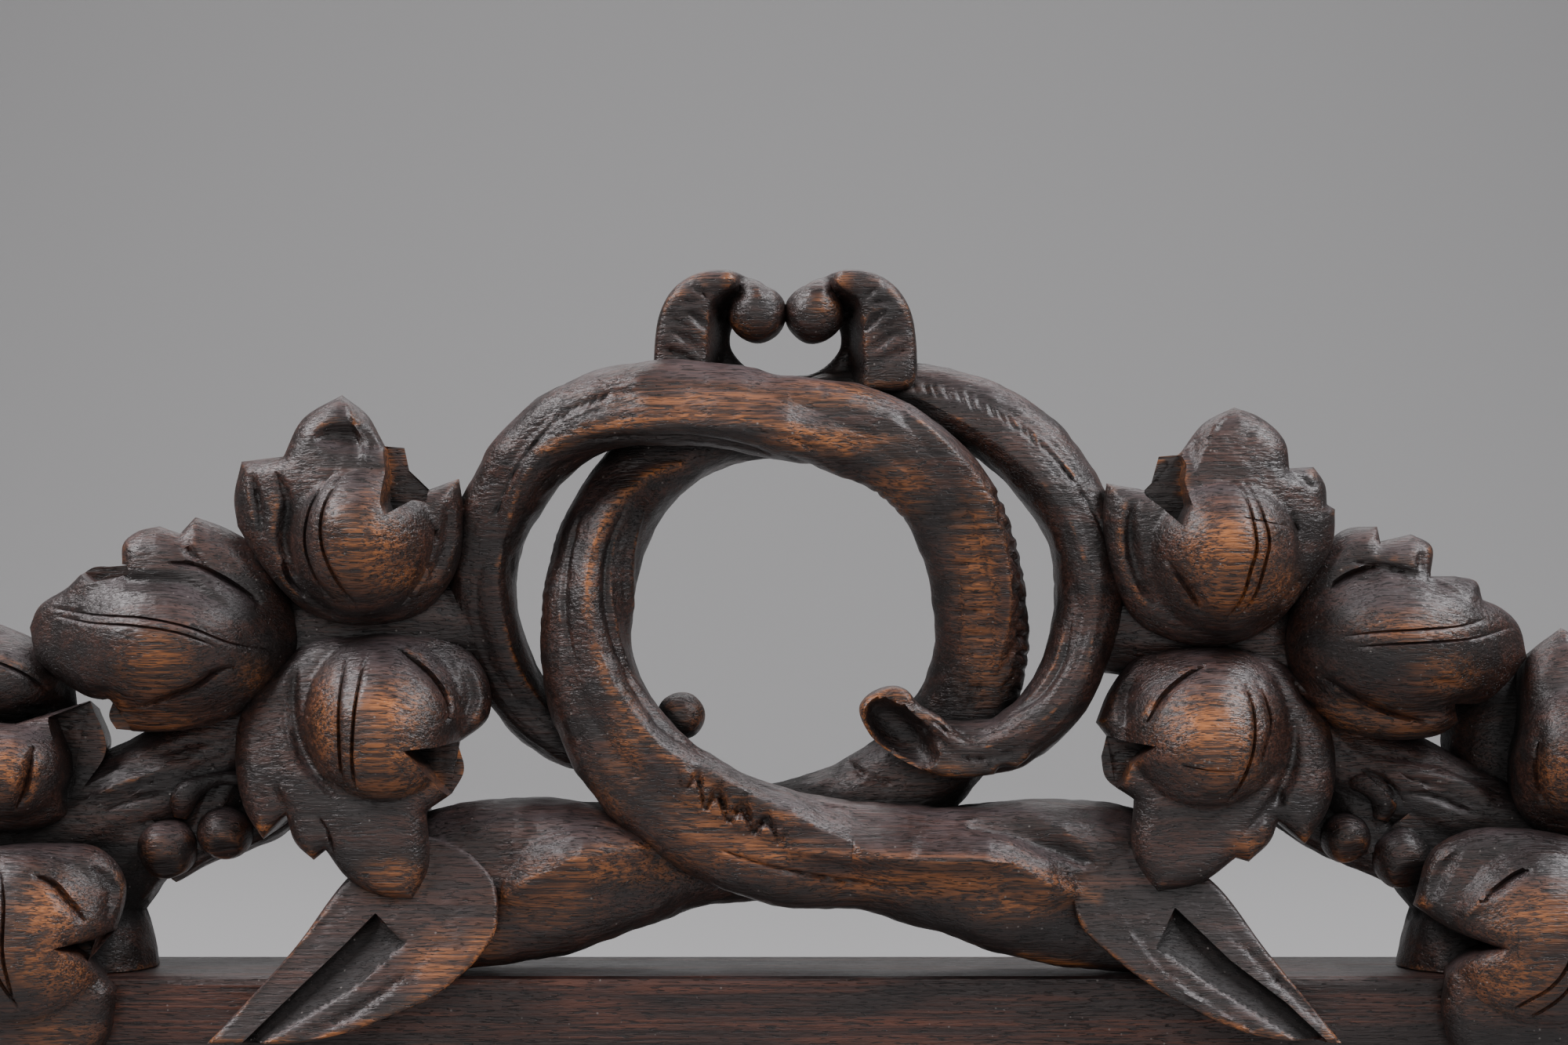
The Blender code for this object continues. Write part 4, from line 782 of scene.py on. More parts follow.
def carved_face(outline, lines, spots):
    """A flat mesh over the outline, with an edge along each line. Returns its points and triangles."""
    points = [Vector(point) for point in outline]
    edges = []
    for line in lines:
        kept = [Vector(point) for point in line[inside(outline, line)]]
        edges += [(len(points) + i, len(points) + i + 1) for i in range(len(kept) - 1)]
        points += kept
        gap, _ = nearest_on(line, spots)
        spots = spots[gap > LINE_CLEAR]
    points += [Vector(spot) for spot in spots]
    made = delaunay_2d_cdt(points, edges, [list(range(len(outline)))], 1, 1e-4)
    return np.array([tuple(point) for point in made[0]]), [tuple(face) for face in made[2]]


def solid_object(name, points, faces):
    mesh = bpy.data.meshes.new(name)
    mesh.from_pydata([tuple(point) for point in points], [], faces)
    return bpy.data.objects.new(name, mesh)


def relief(name, outline, lines, front, walls):
    """A closed solid: a carved front over an outline, and walls that run back to a smaller flat back.

    The outline is in x and z, and each wall is a share of it about its middle, and a depth.
    """
    outline = facing_forward(outline)
    middle = (outline.min(axis=0) + outline.max(axis=0)) / 2
    flat, triangles = carved_face(outline, lines, spots_inside(outline, FINE_STEP, RIM_RINGS))
    depth = front(flat)
    corners = np.stack([flat[:, 0], -depth, flat[:, 1]], axis=1)
    directed = {(a, b) for face in triangles for a, b in zip(face, face[1:] + face[:1])}
    following = {a: b for a, b in directed if (b, a) not in directed}
    loop = [next(iter(following))]
    while following[loop[-1]] != loop[0]:
        loop.append(following[loop[-1]])
    points = [corners]
    faces = list(triangles)
    ring = np.array(loop)
    count = len(corners)
    for share, back in walls(depth[loop]):
        moved = middle + share * (flat[loop] - middle)
        points.append(np.stack([moved[:, 0], -np.broadcast_to(back, len(loop)), moved[:, 1]], axis=1))
        behind = np.arange(count, count + len(loop))
        for i in range(len(loop)):
            j = (i + 1) % len(loop)
            faces.append((ring[j], ring[i], behind[i], behind[j]))
        ring = behind
        count += len(loop)
    faces.append(tuple(ring[::-1]))
    return solid_object(name, np.concatenate(points), [tuple(int(i) for i in face) for face in faces])


def bordered(region, depth):
    """A lowered place in x and z, closed and dense, and the two lines on either side of its border."""
    closed = np.array(list(region) + [region[0]], float)
    steps = np.linalg.norm(np.diff(closed, axis=0), axis=1)
    dense = [
        start + (end - start) * t
        for start, end, length in zip(closed, closed[1:], steps)
        for t in np.linspace(0, 1, max(2, int(length / BORDER_STEP)), endpoint=False)
    ]
    border = real_place(dense, depth)
    out = sideways(np.roll(border, -1, axis=0) - np.roll(border, 1, axis=0))
    lines = [border + side * BORDER_SHIFT * out for side in (-1, 1)]
    return border, [np.concatenate([line, line[:1]]) for line in lines]


def placed(strokes, surface):
    """The strokes moved from the photograph's pixels to where they meet a surface, all in millimetres."""
    moved = []
    for stroke in strokes:
        depth = surface(real_place(stroke.line, STROKE_DEPTH))
        depth = surface(real_place(stroke.line, depth[:, None]))
        line = real_place(stroke.line, depth[:, None])
        half_width = stroke.half_width / PIXELS_PER_MM
        moved.append(Stroke(line, half_width, stroke.depth, stroke.round_bottom, straight=True))
    return moved


def leaf_object(name, leaf):
    pixels = outline_points(leaf.outline, OUTLINE_STEP * PIXELS_PER_MM)
    outline = real_place(pixels, leaf.rim)
    middle = outline.mean(axis=0)
    leaning = leaf.rim + (outline - middle) @ np.array(leaf.lean)
    outline = facing_forward(real_place(pixels, leaning[:, None]))
    reach = np.linalg.norm(outline - middle, axis=1).mean()
    seed = len(name) + leaf.rim
    level = leaf.rim + EDGE_RISE

    def surface(points):
        lean = (points - middle) @ np.array(leaf.lean)
        crown = np.clip(1 - (np.linalg.norm(points - middle, axis=1) / reach) ** 2, -0.4, 1)
        depth = leaf.rim + EDGE_RISE * rim_rise(outline, points, EDGE_ROUND) + leaf.crown * crown + lean
        seen = photo_place(points[:, 0], points[:, 1], (leaf.rim + BALL_AHEAD + lean)[:, None])
        for x, y, half_width, half_height, height in leaf.balls:
            away = (seen - (x, y)) / (half_width, half_height)
            depth += height * np.clip(1 - (away**2).sum(axis=1), 0, 1) ** leaf.swell
        return depth

    strokes = placed(leaf.strokes, surface)
    regions = [bordered(region, level) for _, region in leaf.lowered]

    def front(points):
        depth = surface(points)
        fade = np.clip(nearest_on(outline, points, closed=True)[0] / STROKE_FADE, 0, 1)
        depth = depth - sum(stroke.change(points) for stroke in strokes) * fade
        for (drop, _), (border, _) in zip(leaf.lowered, regions):
            depth = np.where(inside(border, points), np.minimum(depth, level - drop), depth)
        return uneven(points, depth, (*LEAF_HUMPS, seed), (*LEAF_NICKS, seed + 1))

    def walls(rim_depth):
        yield WALL_SLANT, rim_depth - WALL_START
        for i in range(1, WALL_ROWS + 1):
            t = i / WALL_ROWS
            back = (rim_depth - WALL_START) * (1 - t) + LEAF_BACK * t
            yield WALL_SLANT + (BACK_SHARE - WALL_SLANT) * t, back

    lines = [line for _, pair in regions for line in pair]
    lines += [line for stroke in strokes for line in stroke.edges()]
    return relief(name, outline, lines, front, walls)


def cut_end(name, corners, split):
    """The flat oblique cut across a branch, with the open split along its middle."""
    outline = facing_forward(outline_points(corners, OUTLINE_STEP))
    lowest = outline[:, 1].min()

    def surface(points):
        return CUT_FRONT - CUT_LEAN * (points[:, 1] - lowest)

    strokes = placed(CUT_END_STROKES, surface)
    upper, lower = split
    border, lines = bordered(upper + lower[:0:-1], SPLIT_DEPTH)
    upper, lower = (real_place(line, SPLIT_DEPTH) for line in split)

    def front(points):
        depth = surface(points) - rim_drop(outline, points, *CUT_ROUND)
        depth = depth - sum(stroke.change(points) for stroke in strokes)
        above, below = nearest_on(upper, points)[0], nearest_on(lower, points)[0]
        drop = SPLIT_DROP * (below / (above + below + 0.01)) ** 0.7
        depth = np.where(inside(border, points), depth - drop, depth)
        return uneven(points, depth, (*CUT_HUMPS, 3), (*CUT_NICKS, 4))

    def walls(rim_depth):
        for share, back in CUT_WALLS:
            yield share, np.minimum(back, rim_depth - 1)

    return relief(name, outline, lines, front, walls)


def straight_back(depth):
    """Walls that run straight back to one depth, in rows."""

    def walls(rim_depth):
        for i in range(1, WALL_ROWS + 1):
            yield 1.0, rim_depth + (depth - rim_depth) * i / WALL_ROWS

    return walls


def curl(name, side):
    """One upper curl: a flat-topped band whose sides slope back. Side is 1 for the left one."""
    mirror = np.array((side, 1.0))
    outline = facing_forward((outline_points(CURL, OUTLINE_STEP) * mirror) + (0, RING_HEIGHT))
    band = smooth_course(np.array(CURL_BAND) * (side, 1, 1) + (0, RING_HEIGHT, 0), 30)
    lobe_x, lobe_up, half_width, half_height, lobe_front = CURL_LOBE

    def surface(points):
        gap, t = nearest_on(band[:, :2], points)
        flat = np.interp(t, np.linspace(0, 1, len(band)), band[:, 2])
        slope = np.clip((gap - flat) / CURL_SLOPE, 0, 1)
        depth = CURL_TOP - 0.5 * np.clip(gap / flat, 0, 1) ** 2 - CURL_DROP * slope**1.2
        away = (points * mirror - (lobe_x, RING_HEIGHT + lobe_up)) / (half_width, half_height)
        lobe = lobe_front - CURL_DROP * (1 - np.sqrt(np.clip(1 - (away**2).sum(axis=1), 0, 1)))
        return np.maximum(depth, lobe)

    strokes = placed(CURL_STROKES, surface)

    def front(points):
        depth = surface(points) - sum(stroke.change(points) for stroke in strokes)
        depth -= rim_drop(outline, points, *CURL_ROUND)
        return uneven(points, depth, (*CURL_HUMPS, 21 + side), (*CURL_NICKS, 23 + side))

    return relief(name, outline, [], front, straight_back(CURL_BACK))


def hook():
    """The scooped tip of the branch in front: a slanting face with a deep oval bowl."""
    outline = facing_forward(real_place(outline_points(HOOK, OUTLINE_STEP * PIXELS_PER_MM), HOOK_FRONT))
    along = np.array((math.cos(HOOK_BOWL_TURN), math.sin(HOOK_BOWL_TURN)))
    across = np.array((-along[1], along[0]))
    strokes = placed(HOOK_STROKES, lambda points: np.full(len(points), HOOK_FRONT))

    def front(points):
        depth = HOOK_FRONT - rim_drop(outline, points, *HOOK_ROUND)
        away = photo_place(points[:, 0], points[:, 1], HOOK_FRONT) - HOOK_BOWL
        share = (away @ along / HOOK_BOWL_REACH[0]) ** 2 + (away @ across / HOOK_BOWL_REACH[1]) ** 2
        depth -= HOOK_BOWL_DEPTH * np.clip(1 - share, 0, 1) ** 0.6
        depth -= sum(stroke.change(points) for stroke in strokes)
        return uneven(points, depth, (*CURL_HUMPS, 41), (*CURL_NICKS, 42))

    return relief("hook", outline, [], front, straight_back(HOOK_BACK))


def closed_grid(name, shape):
    """A closed solid from rows of points round it, in x, depth and z, with a flat face at each end."""
    rows, sides = shape.shape[:2]
    points = np.stack([shape[..., 0], -shape[..., 1], shape[..., 2]], axis=2).reshape(-1, 3)
    faces = [
        (i * sides + j, i * sides + (j + 1) % sides, (i + 1) * sides + (j + 1) % sides, (i + 1) * sides + j)
        for i in range(rows - 1)
        for j in range(sides)
    ]
    faces.append(tuple(range(sides - 1, -1, -1)))
    faces.append(tuple(range((rows - 1) * sides, rows * sides)))
    return solid_object(name, points, faces)


def swept(name, stations, sides, carve, power=2.0):
    """A closed branch through stations of x, z, depth of the middle, width and front to back size."""
    stations = np.array(stations, float)
    along = np.gradient(stations[:, :2], axis=0)
    along /= np.linalg.norm(along, axis=1)[:, None]
    turn = np.linspace(0, 2 * np.pi, sides, endpoint=False)
    angle = np.pi / 2 + turn - FRONT_SHARE * np.sin(turn)
    share = (np.abs(np.cos(angle)) ** power + np.abs(np.sin(angle)) ** power) ** (-1 / power)
    across = share * np.cos(angle) * stations[:, 3:4] / 2
    forward = share * np.sin(angle) * stations[:, 4:5] / 2
    x = stations[:, 0:1] + along[:, 1:2] * across
    z = stations[:, 1:2] - along[:, 0:1] * across
    shape = carve(np.stack([x, stations[:, 2:3] + forward, z], axis=2))
    shape[:, :, 1] = np.maximum(shape[:, :, 1], 0)
    return closed_grid(name, shape)


def outward_of(shape):
    """The outward direction at each point of a swept shape, in x, depth and z."""
    around = np.roll(shape, -1, axis=1) - np.roll(shape, 1, axis=1)
    along = np.gradient(shape, axis=0)
    out = np.cross(along, around)
    out /= np.linalg.norm(out, axis=2)[..., None] + 1e-9
    middle = shape.mean(axis=1, keepdims=True)
    return out if ((shape - middle) * out).sum() > 0 else -out


def carver(strokes, seed, fibres=0.0):
    """A function that carves a swept shape with strokes, fibres along it and a soft unevenness."""

    def carve(shape):
        rows, sides = shape.shape[:2]
        out = outward_of(shape)
        flat = shape.reshape(-1, 3)
        pixels = photo_place(flat[:, 0], flat[:, 2], flat[:, 1:2])
        facing = np.clip(out[..., 1].reshape(-1) * 2.5 + 0.3, 0, 1)
        taken = sum(stroke.change(pixels) for stroke in strokes) * facing
        rough = roughened(flat, *BRANCH_HUMPS, seed) + roughened(flat, *BRANCH_NICKS, seed + 1)
        if fibres:
            middle = shape.mean(axis=1)
            at = np.cumsum(np.linalg.norm(np.diff(middle, axis=0, prepend=middle[:1]), axis=1))
            turn = np.linspace(0, 2 * np.pi, sides, endpoint=False)
            courses = (at[:, None] / FIBRE_LENGTH, FIBRES_ROUND * np.cos(turn), FIBRES_ROUND * np.sin(turn))
            along = np.stack([np.broadcast_to(course, (rows, sides)) for course in courses], axis=2)
            along = along.reshape(-1, 3)
            rough += roughened(along, 1.0, fibres, seed + 2) + roughened(along, 0.45, 0.5 * fibres, seed + 3)
        return shape + out * (rough - taken).reshape(rows, sides, 1)

    return carve


def by_angle(table, angle):
    """A value between the rows of a table that runs by degrees round the ring."""
    return np.interp(angle, *np.transpose(table))


def branch(name, depths, side, strokes):
    """One of the two branches. Side is 1 for the one that starts at the left, -1 for its mirror image."""
    course = smooth_course([(math.radians(a) * r, r, a, w) for a, r, w in BRANCH_COURSE], BRANCH_STATIONS)
    stations = []
    for _, radius, degrees, width in course:
        angle = math.radians(degrees)
        x, z = side * radius * math.cos(angle), RING_HEIGHT + radius * math.sin(angle)
        stations.append((x, z, by_angle(depths, degrees), width, by_angle(BRANCH_THICKNESS, degrees)))
    return swept(name, stations, BRANCH_SIDES, carver(strokes, 11 + side, fibres=0.16), SECTION_POWER)


def stem(name, keys, seed, fibres=0.3):
    keys = [(x, z, middle, width, min(STEM_DEPTH, width)) for x, z, middle, width in keys]
    return swept(name, smooth_course(keys, STEM_STATIONS), STEM_SIDES, carver(STEM_STROKES, seed, fibres))


def ball(name, x, z, middle, radius, facet=NO_FACET):
    """A berry or knob: a ball that is a little uneven, with a flat worn facet low in front."""
    turn = np.linspace(BALL_END, np.pi - BALL_END, BALL_ROWS)[:, None]
    angle = np.linspace(0, 2 * np.pi, BALL_SIDES, endpoint=False)[None, :]
    across, up = np.sin(turn), np.cos(turn) + 0 * angle
    shape = np.stack([across * np.cos(angle), across * np.sin(angle), up], axis=2)
    over = np.maximum(shape @ np.array(FACET_TURN) - facet, 0)
    shape = shape - over[..., None] * np.array(FACET_TURN)
    swell = 1 + roughened(shape.reshape(-1, 3) * radius + (x, 0, z), *BALL_SWELL, 5)
    shape = shape * radius * swell.reshape(BALL_ROWS, BALL_SIDES, 1)
    return closed_grid(name, shape + np.array((x, middle, z)))


def box(name, low, high):
    corners = [(x, y, z) for x in (low[0], high[0]) for y in (low[1], high[1]) for z in (low[2], high[2])]
    faces = [(0, 1, 3, 2), (4, 6, 7, 5), (0, 4, 5, 1), (2, 3, 7, 6), (0, 2, 6, 4), (1, 5, 7, 3)]
    return solid_object(name, corners, faces)


def values_of(items, name, width, kind=float):
    """One attribute of a mesh's points, edges or faces, with a row for each of them."""
    values = np.empty(len(items) * width, kind)
    items.foreach_get(name, values)
    return values.reshape(-1, width)


def outward(helper):
    """Turns a closed helper's faces outward."""
    mesh = helper.data
    mesh.calc_loop_triangles()
    points = values_of(mesh.vertices, "co", 3)
    if np.linalg.det(points[values_of(mesh.loop_triangles, "vertices", 3, np.int32)]).sum() < 0:
        mesh.flip_normals()
    return helper


def carving_pieces():
    pieces = [leaf_object(name, leaf) for name, leaf in LEAVES.items()]
    pieces.append(branch("front_branch", FRONT_START_DEPTH, -1, FRONT_BRANCH_STROKES))
    pieces.append(branch("back_branch", BACK_START_DEPTH, 1, BACK_BRANCH_STROKES))
    pieces.append(cut_end("left_cut", LEFT_CUT, LEFT_SPLIT))
    pieces.append(cut_end("right_cut", RIGHT_CUT, RIGHT_SPLIT))
    for side, word in ((1, "left"), (-1, "right")):
        pieces.append(curl(word + "_curl", side))
        x, z = side * CURL_BALL[0], RING_HEIGHT + CURL_BALL[1]
        pieces.append(ball(word + "_curl_ball", x, z, CURL_BALL_DEPTH, CURL_BALL_RADIUS))
    pieces.append(hook())
    pieces += [stem(f"stem_{i}", keys, 31 + i) for i, keys in enumerate(STEMS)]
    pieces += [stem(f"sprout_{i}", keys, 51 + i, fibres=0) for i, keys in enumerate(SPROUTS)]
    pieces += [ball(f"berry_{i}", *berry) for i, berry in enumerate(BERRIES)]
    return [outward(piece) for piece in pieces]


def evaluated(helper):
    graph = bpy.context.evaluated_depsgraph_get()
    return bpy.data.meshes.new_from_object(helper.evaluated_get(graph))


def joined(name, pieces, cutter):
    """One mesh from the overlapping pieces, without the cutter's space, and thinned to about MOST_TRIANGLES
    triangles when it has more.
    """
    base = pieces[0]
    bpy.context.scene.collection.objects.link(base)
    for piece in pieces[1:] + [cutter]:
        bpy.context.scene.collection.objects.link(piece)
        step = base.modifiers.new(piece.name, "BOOLEAN")
        step.operation = "DIFFERENCE" if piece is cutter else "UNION"
        step.solver = "MANIFOLD"
        step.object = piece
    mesh = evaluated(base)
    for helper in pieces + [cutter]:
        bpy.data.objects.remove(helper, do_unlink=True)
    made = bpy.data.objects.new(name, mesh)
    bpy.context.scene.collection.objects.link(made)
    mesh.calc_loop_triangles()
    thinning = made.modifiers.new("thinning", "DECIMATE")
    thinning.ratio = min(1.0, MOST_TRIANGLES / len(mesh.loop_triangles))
    made.data = evaluated(made)
    made.modifiers.clear()
    return made


def bulging(points, normals, ends):
    """How sharply the surface bulges at each point, from the turn of its normals, smoothed a little."""
    first, second = ends.T
    count = len(points)
    apart = points[second] - points[first]
    bend = ((normals[second] - normals[first]) * apart).sum(axis=1)
    bend /= np.maximum((apart**2).sum(axis=1), LEAST_EDGE)
    number = np.maximum(np.bincount(ends.reshape(-1), minlength=count), 1)
    bulge = (np.bincount(first, bend, count) + np.bincount(second, bend, count)) / number
    bulge = np.clip(bulge, -MOST_BULGE, MOST_BULGE)
    for _ in range(BULGE_ROUNDS):
        total = np.bincount(first, bulge[second], count) + np.bincount(second, bulge[first], count)
        bulge = 0.5 * bulge + 0.5 * total / number
    return bulge


def depth_in_carving(points, depth):
    """How far each point lies behind the blurred front of the carving around it, from 0 to 1."""
    low = points[:, [0, 2]].min(axis=0) - CELL_MARGIN
    cells = (points[:, [0, 2]] - low).astype(int)
    level = np.zeros(cells.max(axis=0) + CELL_MARGIN + 1)
    np.maximum.at(level, (cells[:, 0], cells[:, 1]), depth)
    shifts = range(-BLUR_REACH, BLUR_REACH + 1)
    for _ in range(BLUR_ROUNDS):
        level = sum(np.roll(level, (i, j), axis=(0, 1)) for i in shifts for j in shifts) / len(shifts) ** 2
    return np.clip((level[cells[:, 0], cells[:, 1]] - depth) / DEEP_FULL + DEEP_START, 0, 1)


def mark_surface(mesh):
    """Gives each point how worn it is, how sharply it bulges, and how deep it lies in the carving; the
    material paints shade by depth and in hollows, and the splits and shaded places get painted shade here.
    """
    points = values_of(mesh.vertices, "co", 3)
    normals = values_of(mesh.vertex_normals, "vector", 3)
    depth = -points[:, 1]
    bulge = bulging(points, normals, values_of(mesh.edges, "vertices", 2, np.int32))
    deep = depth_in_carving(points, depth)
    deep *= 1 - BACK_CLEARED * np.clip(1.6 * normals[:, 1], 0, 1)

    pixels = photo_place(points[:, 0], points[:, 2], depth[:, None])
    worn = np.zeros(len(points))
    for x, y, half_width, half_height, strength in WORN_SPOTS:
        away = (((pixels - (x, y)) / (half_width, half_height)) ** 2).sum(axis=1)
        worn = np.maximum(worn, strength * np.exp(-(away**1.3)))
    for half_width, strength, course in WORN_LINES:
        gap, _ = nearest_on(smooth_course(course, 5 * len(course)), pixels)
        worn = np.maximum(worn, strength * np.exp(-((gap / half_width) ** 2)))
    # Painted shade: the splits and the shaded places are marked deep so the material darkens them, and the
    # shaded places lose their edge wear
    for upper, lower in (LEFT_SPLIT, RIGHT_SPLIT):
        within = inside(np.array(upper + lower[:0:-1], float), pixels)
        deep = np.where(within, np.maximum(deep, SPLIT_DARK), deep)
    for x, y, reach in SHADED_SPOTS:
        near = np.exp(-(((pixels - (x, y)) ** 2).sum(axis=1) / reach**2))
        bulge = bulge - near * np.clip(bulge, 0, None)
        deep = np.maximum(deep, SHADE_DARK * near)
    worn *= np.clip(-normals[:, 1] * 2, 0, 1) * np.clip(1.3 - 2 * deep, 0, 1)
    for name, values in (("worn", worn), ("bulge", bulge), ("deep", deep)):
        mesh.attributes.new(name, "FLOAT", "POINT").data.foreach_set("value", values.astype(np.float32))


# Near black: the colour of the pores, and of the shade painted into the carving's recesses and hollows
PORE_AND_SHADE_BLACK = (0.005, 0.0035, 0.003, 1)
DUST = (0.30, 0.27, 0.25, 1)
# Each oak's colours: dark, brown, worn through, and the pale painted sheen, a highlight painted on faces that
# look up
CREST_COLOURS = ((0.011, 0.0058, 0.0047, 1), (0.057, 0.0205, 0.0125, 1), (0.37, 0.125, 0.030, 1),
                 (0.185, 0.148, 0.158, 1))
RAIL_COLOURS = ((0.016, 0.0075, 0.006, 1), (0.062, 0.022, 0.015, 1), (0.16, 0.050, 0.024, 1),
                (0.105, 0.078, 0.085, 1))
GRAIN_TILT = (math.radians(-24), math.radians(2), 0.0)


class Nodes:
    """A short way to write a material's nodes."""

    def __init__(self, name):
        self.material = bpy.data.materials.new(name)
        self.material.use_nodes = True
        self.tree = self.material.node_tree
        self.shader = self.tree.nodes["Principled BSDF"]

    def put(self, socket, value):
        if isinstance(value, bpy.types.NodeSocket):
            self.tree.links.new(value, socket)
        else:
            socket.default_value = value

    def add(self, kind, output=0, settings=(), **inputs):
        made = self.tree.nodes.new(kind)
        for name, value in dict(settings).items():
            setattr(made, name, value)
        for name, value in inputs.items():
            place = int(name[1:]) if name[1:].isdigit() else name.replace("_", " ")
            self.put(made.inputs[place], value)
        return made.outputs[output]

    def attribute(self, name):
        return self.add("ShaderNodeAttribute", "Fac", {"attribute_name": name})

    def math(self, operation, a, b=0.0, clamp=False):
        return self.add("ShaderNodeMath", 0, {"operation": operation, "use_clamp": clamp}, i0=a, i1=b)

    def between(self, value, low, high, to_low=0.0, to_high=1.0):
        return self.add("ShaderNodeMapRange", 0, {"interpolation_type": "SMOOTHSTEP"},
                        i0=value, i1=low, i2=high, i3=to_low, i4=to_high)

    def mix(self, share, a, b):
        made = self.tree.nodes.new("ShaderNodeMix")
        made.data_type = "RGBA"
        for place, value in ((0, share), (6, a), (7, b)):
            self.put(made.inputs[place], value)
        return made.outputs[2]

    def stretched(self, scale, turn=(0.0, 0.0, 0.0)):
        where = self.add("ShaderNodeTexCoord", "Object")
        return self.add("ShaderNodeMapping", 0, (), Vector=where, Scale=scale, Rotation=turn)

    def noise(self, where, scale=1.0, detail=3.0, roughness=0.5, distortion=0.0):
        return self.add("ShaderNodeTexNoise", 0, (), Vector=where, Scale=scale, Detail=detail,
                        Roughness=roughness, Distortion=distortion)


def oak(name, dark, brown, worn_colour, painted_sheen_colour, crest=True):
    """Old stained oak: streaks and pores along X, stain worn off the high places, a thin waxed sheen, a pale
    painted sheen on faces that look up, and on the crest painted shade in its recesses and hollows.
    """
    n = Nodes(name)
    streaks = n.noise(n.stretched((24, 1000, 1000), GRAIN_TILT), detail=3, roughness=0.62, distortion=0.12)
    fine = n.noise(n.stretched((60, 2600, 2600), GRAIN_TILT), detail=2, roughness=0.6, distortion=0.1)
    broad = n.noise(n.stretched((9, 150, 150), GRAIN_TILT), detail=3, roughness=0.55, distortion=0.8)
    pores = n.noise(n.stretched((300, 3000, 3000), GRAIN_TILT), detail=1, roughness=0.5)
    patches = n.noise(n.stretched((70, 70, 70)), detail=5, roughness=0.65)
    both = n.math("ADD", n.math("MULTIPLY", streaks, 0.6), n.math("MULTIPLY", fine, 0.4))
    grain = n.between(both, 0.42, 0.60)
    pore = n.between(pores, 0.585, 0.655)

    if crest:
        worn = n.attribute("worn")
        bulge = n.attribute("bulge")
        deep = n.attribute("deep")
        edge = n.between(n.math("ADD", bulge, n.math("MULTIPLY", patches, 0.30)), 0.30, 0.58)
        edge = n.math("MULTIPLY", edge, n.between(deep, 0.12, 0.45, 1.0, 0.0))
        high = n.math("MAXIMUM", worn, n.math("MULTIPLY", edge, 0.8))
    else:
        high = n.math("MULTIPLY", n.between(broad, 0.40, 0.66), 0.6)

    share = n.math("MULTIPLY", high, n.math("ADD", n.math("MULTIPLY", grain, 1.15), 0.12), clamp=True)
    share = n.math("MULTIPLY", share, n.between(patches, 0.26, 0.56, 0.35, 1.0), clamp=True)
    browner = n.math("MULTIPLY", n.between(broad, 0.36, 0.62), n.between(grain, 0, 1, 0.25, 1.0))
    base = n.mix(browner, dark, brown)
    colour = n.mix(share, base, worn_colour)
    # Painted sheen: a pale grey highlight painted on faces that look up, where the lamps above would shine,
    # less where the stain is worn
    up = n.add("ShaderNodeSeparateXYZ", "Z", (), Vector=n.add("ShaderNodeNewGeometry", "Normal"))
    painted_sheen_share = n.math("MULTIPLY", n.between(up, 0.2, 0.95), n.between(patches, 0.34, 0.62, 0.06, 0.30))
    colour = n.mix(n.math("MULTIPLY", painted_sheen_share, n.math("SUBTRACT", 1.0, share)), colour, painted_sheen_colour)
    # Painted shade: the carving is darkened towards near black where it lies deep, in the splits and shaded
    # places, and in hollows where the surface bends inward
    if crest:
        colour = n.mix(n.between(deep, 0.07, 0.62, 0.0, 0.90), colour, PORE_AND_SHADE_BLACK)
        colour = n.mix(n.between(bulge, -0.05, -0.55, 0.0, 0.85), colour, PORE_AND_SHADE_BLACK)
    colour = n.mix(n.math("MULTIPLY", pore, 0.85), colour, PORE_AND_SHADE_BLACK)
    specks = n.add("ShaderNodeTexVoronoi", "Distance", (), Vector=n.stretched((1, 1, 1)), Scale=560.0)
    sparse = n.between(n.noise(n.stretched((300, 300, 300)), detail=0), 0.62, 0.66)
    speck = n.math("MULTIPLY", n.between(specks, 0.15, 0.09), sparse)
    colour = n.mix(n.math("MULTIPLY", speck, 0.5), colour, DUST)
    n.put(n.shader.inputs["Base Color"], colour)

    mottled = n.math("ADD", n.math("MULTIPLY", both, 0.6), n.math("MULTIPLY", patches, 0.4))
    rough = n.between(mottled, 0.35, 0.65, 0.33, 0.54)
    if crest:
        rough = n.math("ADD", rough, n.between(deep, 0.15, 0.6, 0.0, 0.25))
        n.put(n.shader.inputs["Coat Weight"], n.between(deep, 0.1, 0.5, 0.20, 0.0))
    else:
        n.shader.inputs["Coat Weight"].default_value = 0.20
    n.put(n.shader.inputs["Roughness"], rough)
    n.shader.inputs["Specular IOR Level"].default_value = 0.55
    n.shader.inputs["Coat Roughness"].default_value = 0.40

    scratches = n.noise(n.stretched((520, 900, 1500)), detail=3)
    height = n.math("ADD", n.math("MULTIPLY", both, 0.75), n.math("MULTIPLY", pore, -0.6))
    height = n.math("ADD", height, n.math("MULTIPLY", scratches, 0.45))
    bump = n.add("ShaderNodeBump", "Normal", (), Strength=0.9, Distance=0.0006, Height=height)
    n.put(n.shader.inputs["Normal"], bump)
    return n.material


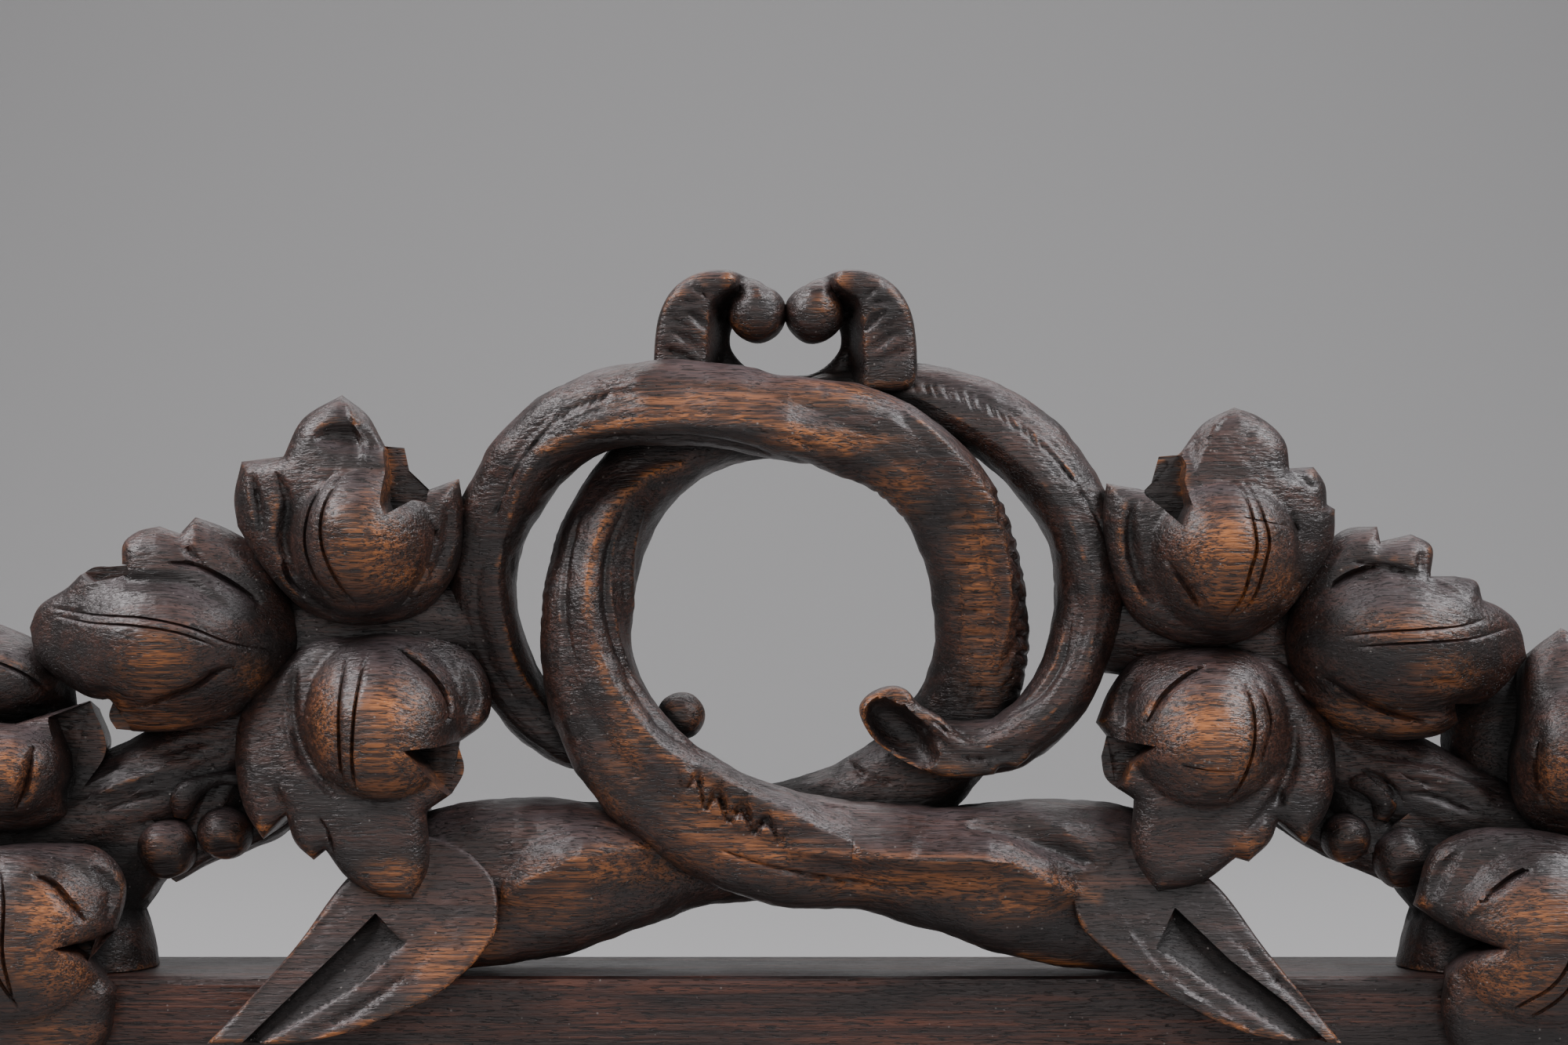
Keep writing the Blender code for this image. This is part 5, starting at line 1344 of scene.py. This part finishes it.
def carved_crest():
    low = (cad_bounds[0][0] / MM - SEAT_MARGIN, -RAIL_DEPTH - SEAT_GAP, -SEAT_MARGIN)
    high = (cad_bounds[1][0] / MM + SEAT_MARGIN, SEAT_MARGIN, RAIL_HEIGHT + SEAT_GAP)
    cutter = outward(box("seat_cutter", low, high))
    crest = joined("crest_carving", carving_pieces(), cutter)
    mark_surface(crest.data)
    points = values_of(crest.data.vertices, "co", 3) * MM + np.array((0, RAIL_DEPTH / 2 * MM, 0))
    crest.data.vertices.foreach_set("co", points.reshape(-1))
    crest.data.materials.clear()
    crest.data.materials.append(oak("dark_waxed_oak", *CREST_COLOURS))
    crest.data.shade_smooth()
    crest.data.set_sharp_from_angle(angle=SHARP_ANGLE)
    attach(crest, "root")
    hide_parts("carved_crest")


def dress_rail():
    material = oak("waxed_rail_oak", *RAIL_COLOURS, crest=False)
    for slot in bpy.data.objects["top_rail"].material_slots:
        slot.material = material


def plain(name, colour, roughness):
    n = Nodes(name)
    n.shader.inputs["Base Color"].default_value = colour
    n.shader.inputs["Roughness"].default_value = roughness
    return n.material


# The floor and its backdrop, in metres: half width, front edge, back, radius of the bend, and top
FLOOR = (3.0, -2.2, 1.3, 0.6, 2.6)
FLOOR_STEPS = 16


def floor():
    """A pale floor that curves up behind into a backdrop."""
    half, front, back, bend, top = FLOOR
    profile = [(front, 0.0), (back - bend, 0.0)]
    for i in range(1, FLOOR_STEPS + 1):
        turn = math.pi / 2 * i / FLOOR_STEPS
        profile.append((back - bend + bend * math.sin(turn), bend - bend * math.cos(turn)))
    profile.append((back, top))
    points = [(side * half, y, z) for y, z in profile for side in (-1, 1)]
    faces = [(2 * i, 2 * i + 1, 2 * i + 3, 2 * i + 2) for i in range(len(profile) - 1)]
    made = solid_object("floor", points, faces)
    bpy.context.scene.collection.objects.link(made)
    made.data.shade_smooth()
    made.data.materials.append(plain("pale_floor", (0.29, 0.29, 0.29, 1), 0.8))


def area_light(name, place, target, size, power, colour=(1.0, 1.0, 1.0)):
    light = bpy.data.lights.new(name, "AREA")
    light.shape = "RECTANGLE"
    light.size, light.size_y = size
    light.energy = power
    light.color = colour
    lamp = bpy.data.objects.new(name, light)
    lamp.location = place
    lamp.rotation_euler = (Vector(target) - Vector(place)).to_track_quat("-Z", "Y").to_euler()
    bpy.context.scene.collection.objects.link(lamp)


def lights():
    aim = (0.0, 0.0, 0.1)
    area_light("top_left", (-0.75, -0.25, 0.95), aim, (0.7, 0.5), 16.5, (1.0, 0.96, 0.98))
    area_light("top_right", (0.75, -0.25, 0.95), aim, (0.7, 0.5), 16.5, (0.98, 0.97, 1.0))
    area_light("front", (0.0, -1.4, 0.55), aim, (1.2, 0.6), 4.0)
    area_light("back", (0.0, 1.0, 1.15), aim, (1.1, 0.5), 5.5)
    world = bpy.data.worlds.new("studio")
    world.use_nodes = True
    world.node_tree.nodes["Background"].inputs["Color"].default_value = (0.55, 0.55, 0.57, 1)
    world.node_tree.nodes["Background"].inputs["Strength"].default_value = 0.21
    bpy.context.scene.world = world


def camera():
    data = bpy.data.cameras.new("photo_camera")
    data.lens = LENS
    data.sensor_width = SENSOR
    made = bpy.data.objects.new("photo_camera", data)
    made.location = (EYE_SIDE * MM, (RAIL_DEPTH / 2 - EYE_DISTANCE) * MM, EYE_HEIGHT * MM)
    made.rotation_euler = (math.pi / 2, 0, 0)
    bpy.context.scene.collection.objects.link(made)
    bpy.context.scene.camera = made


camera()
lights()
floor()
carved_crest()
dress_rail()
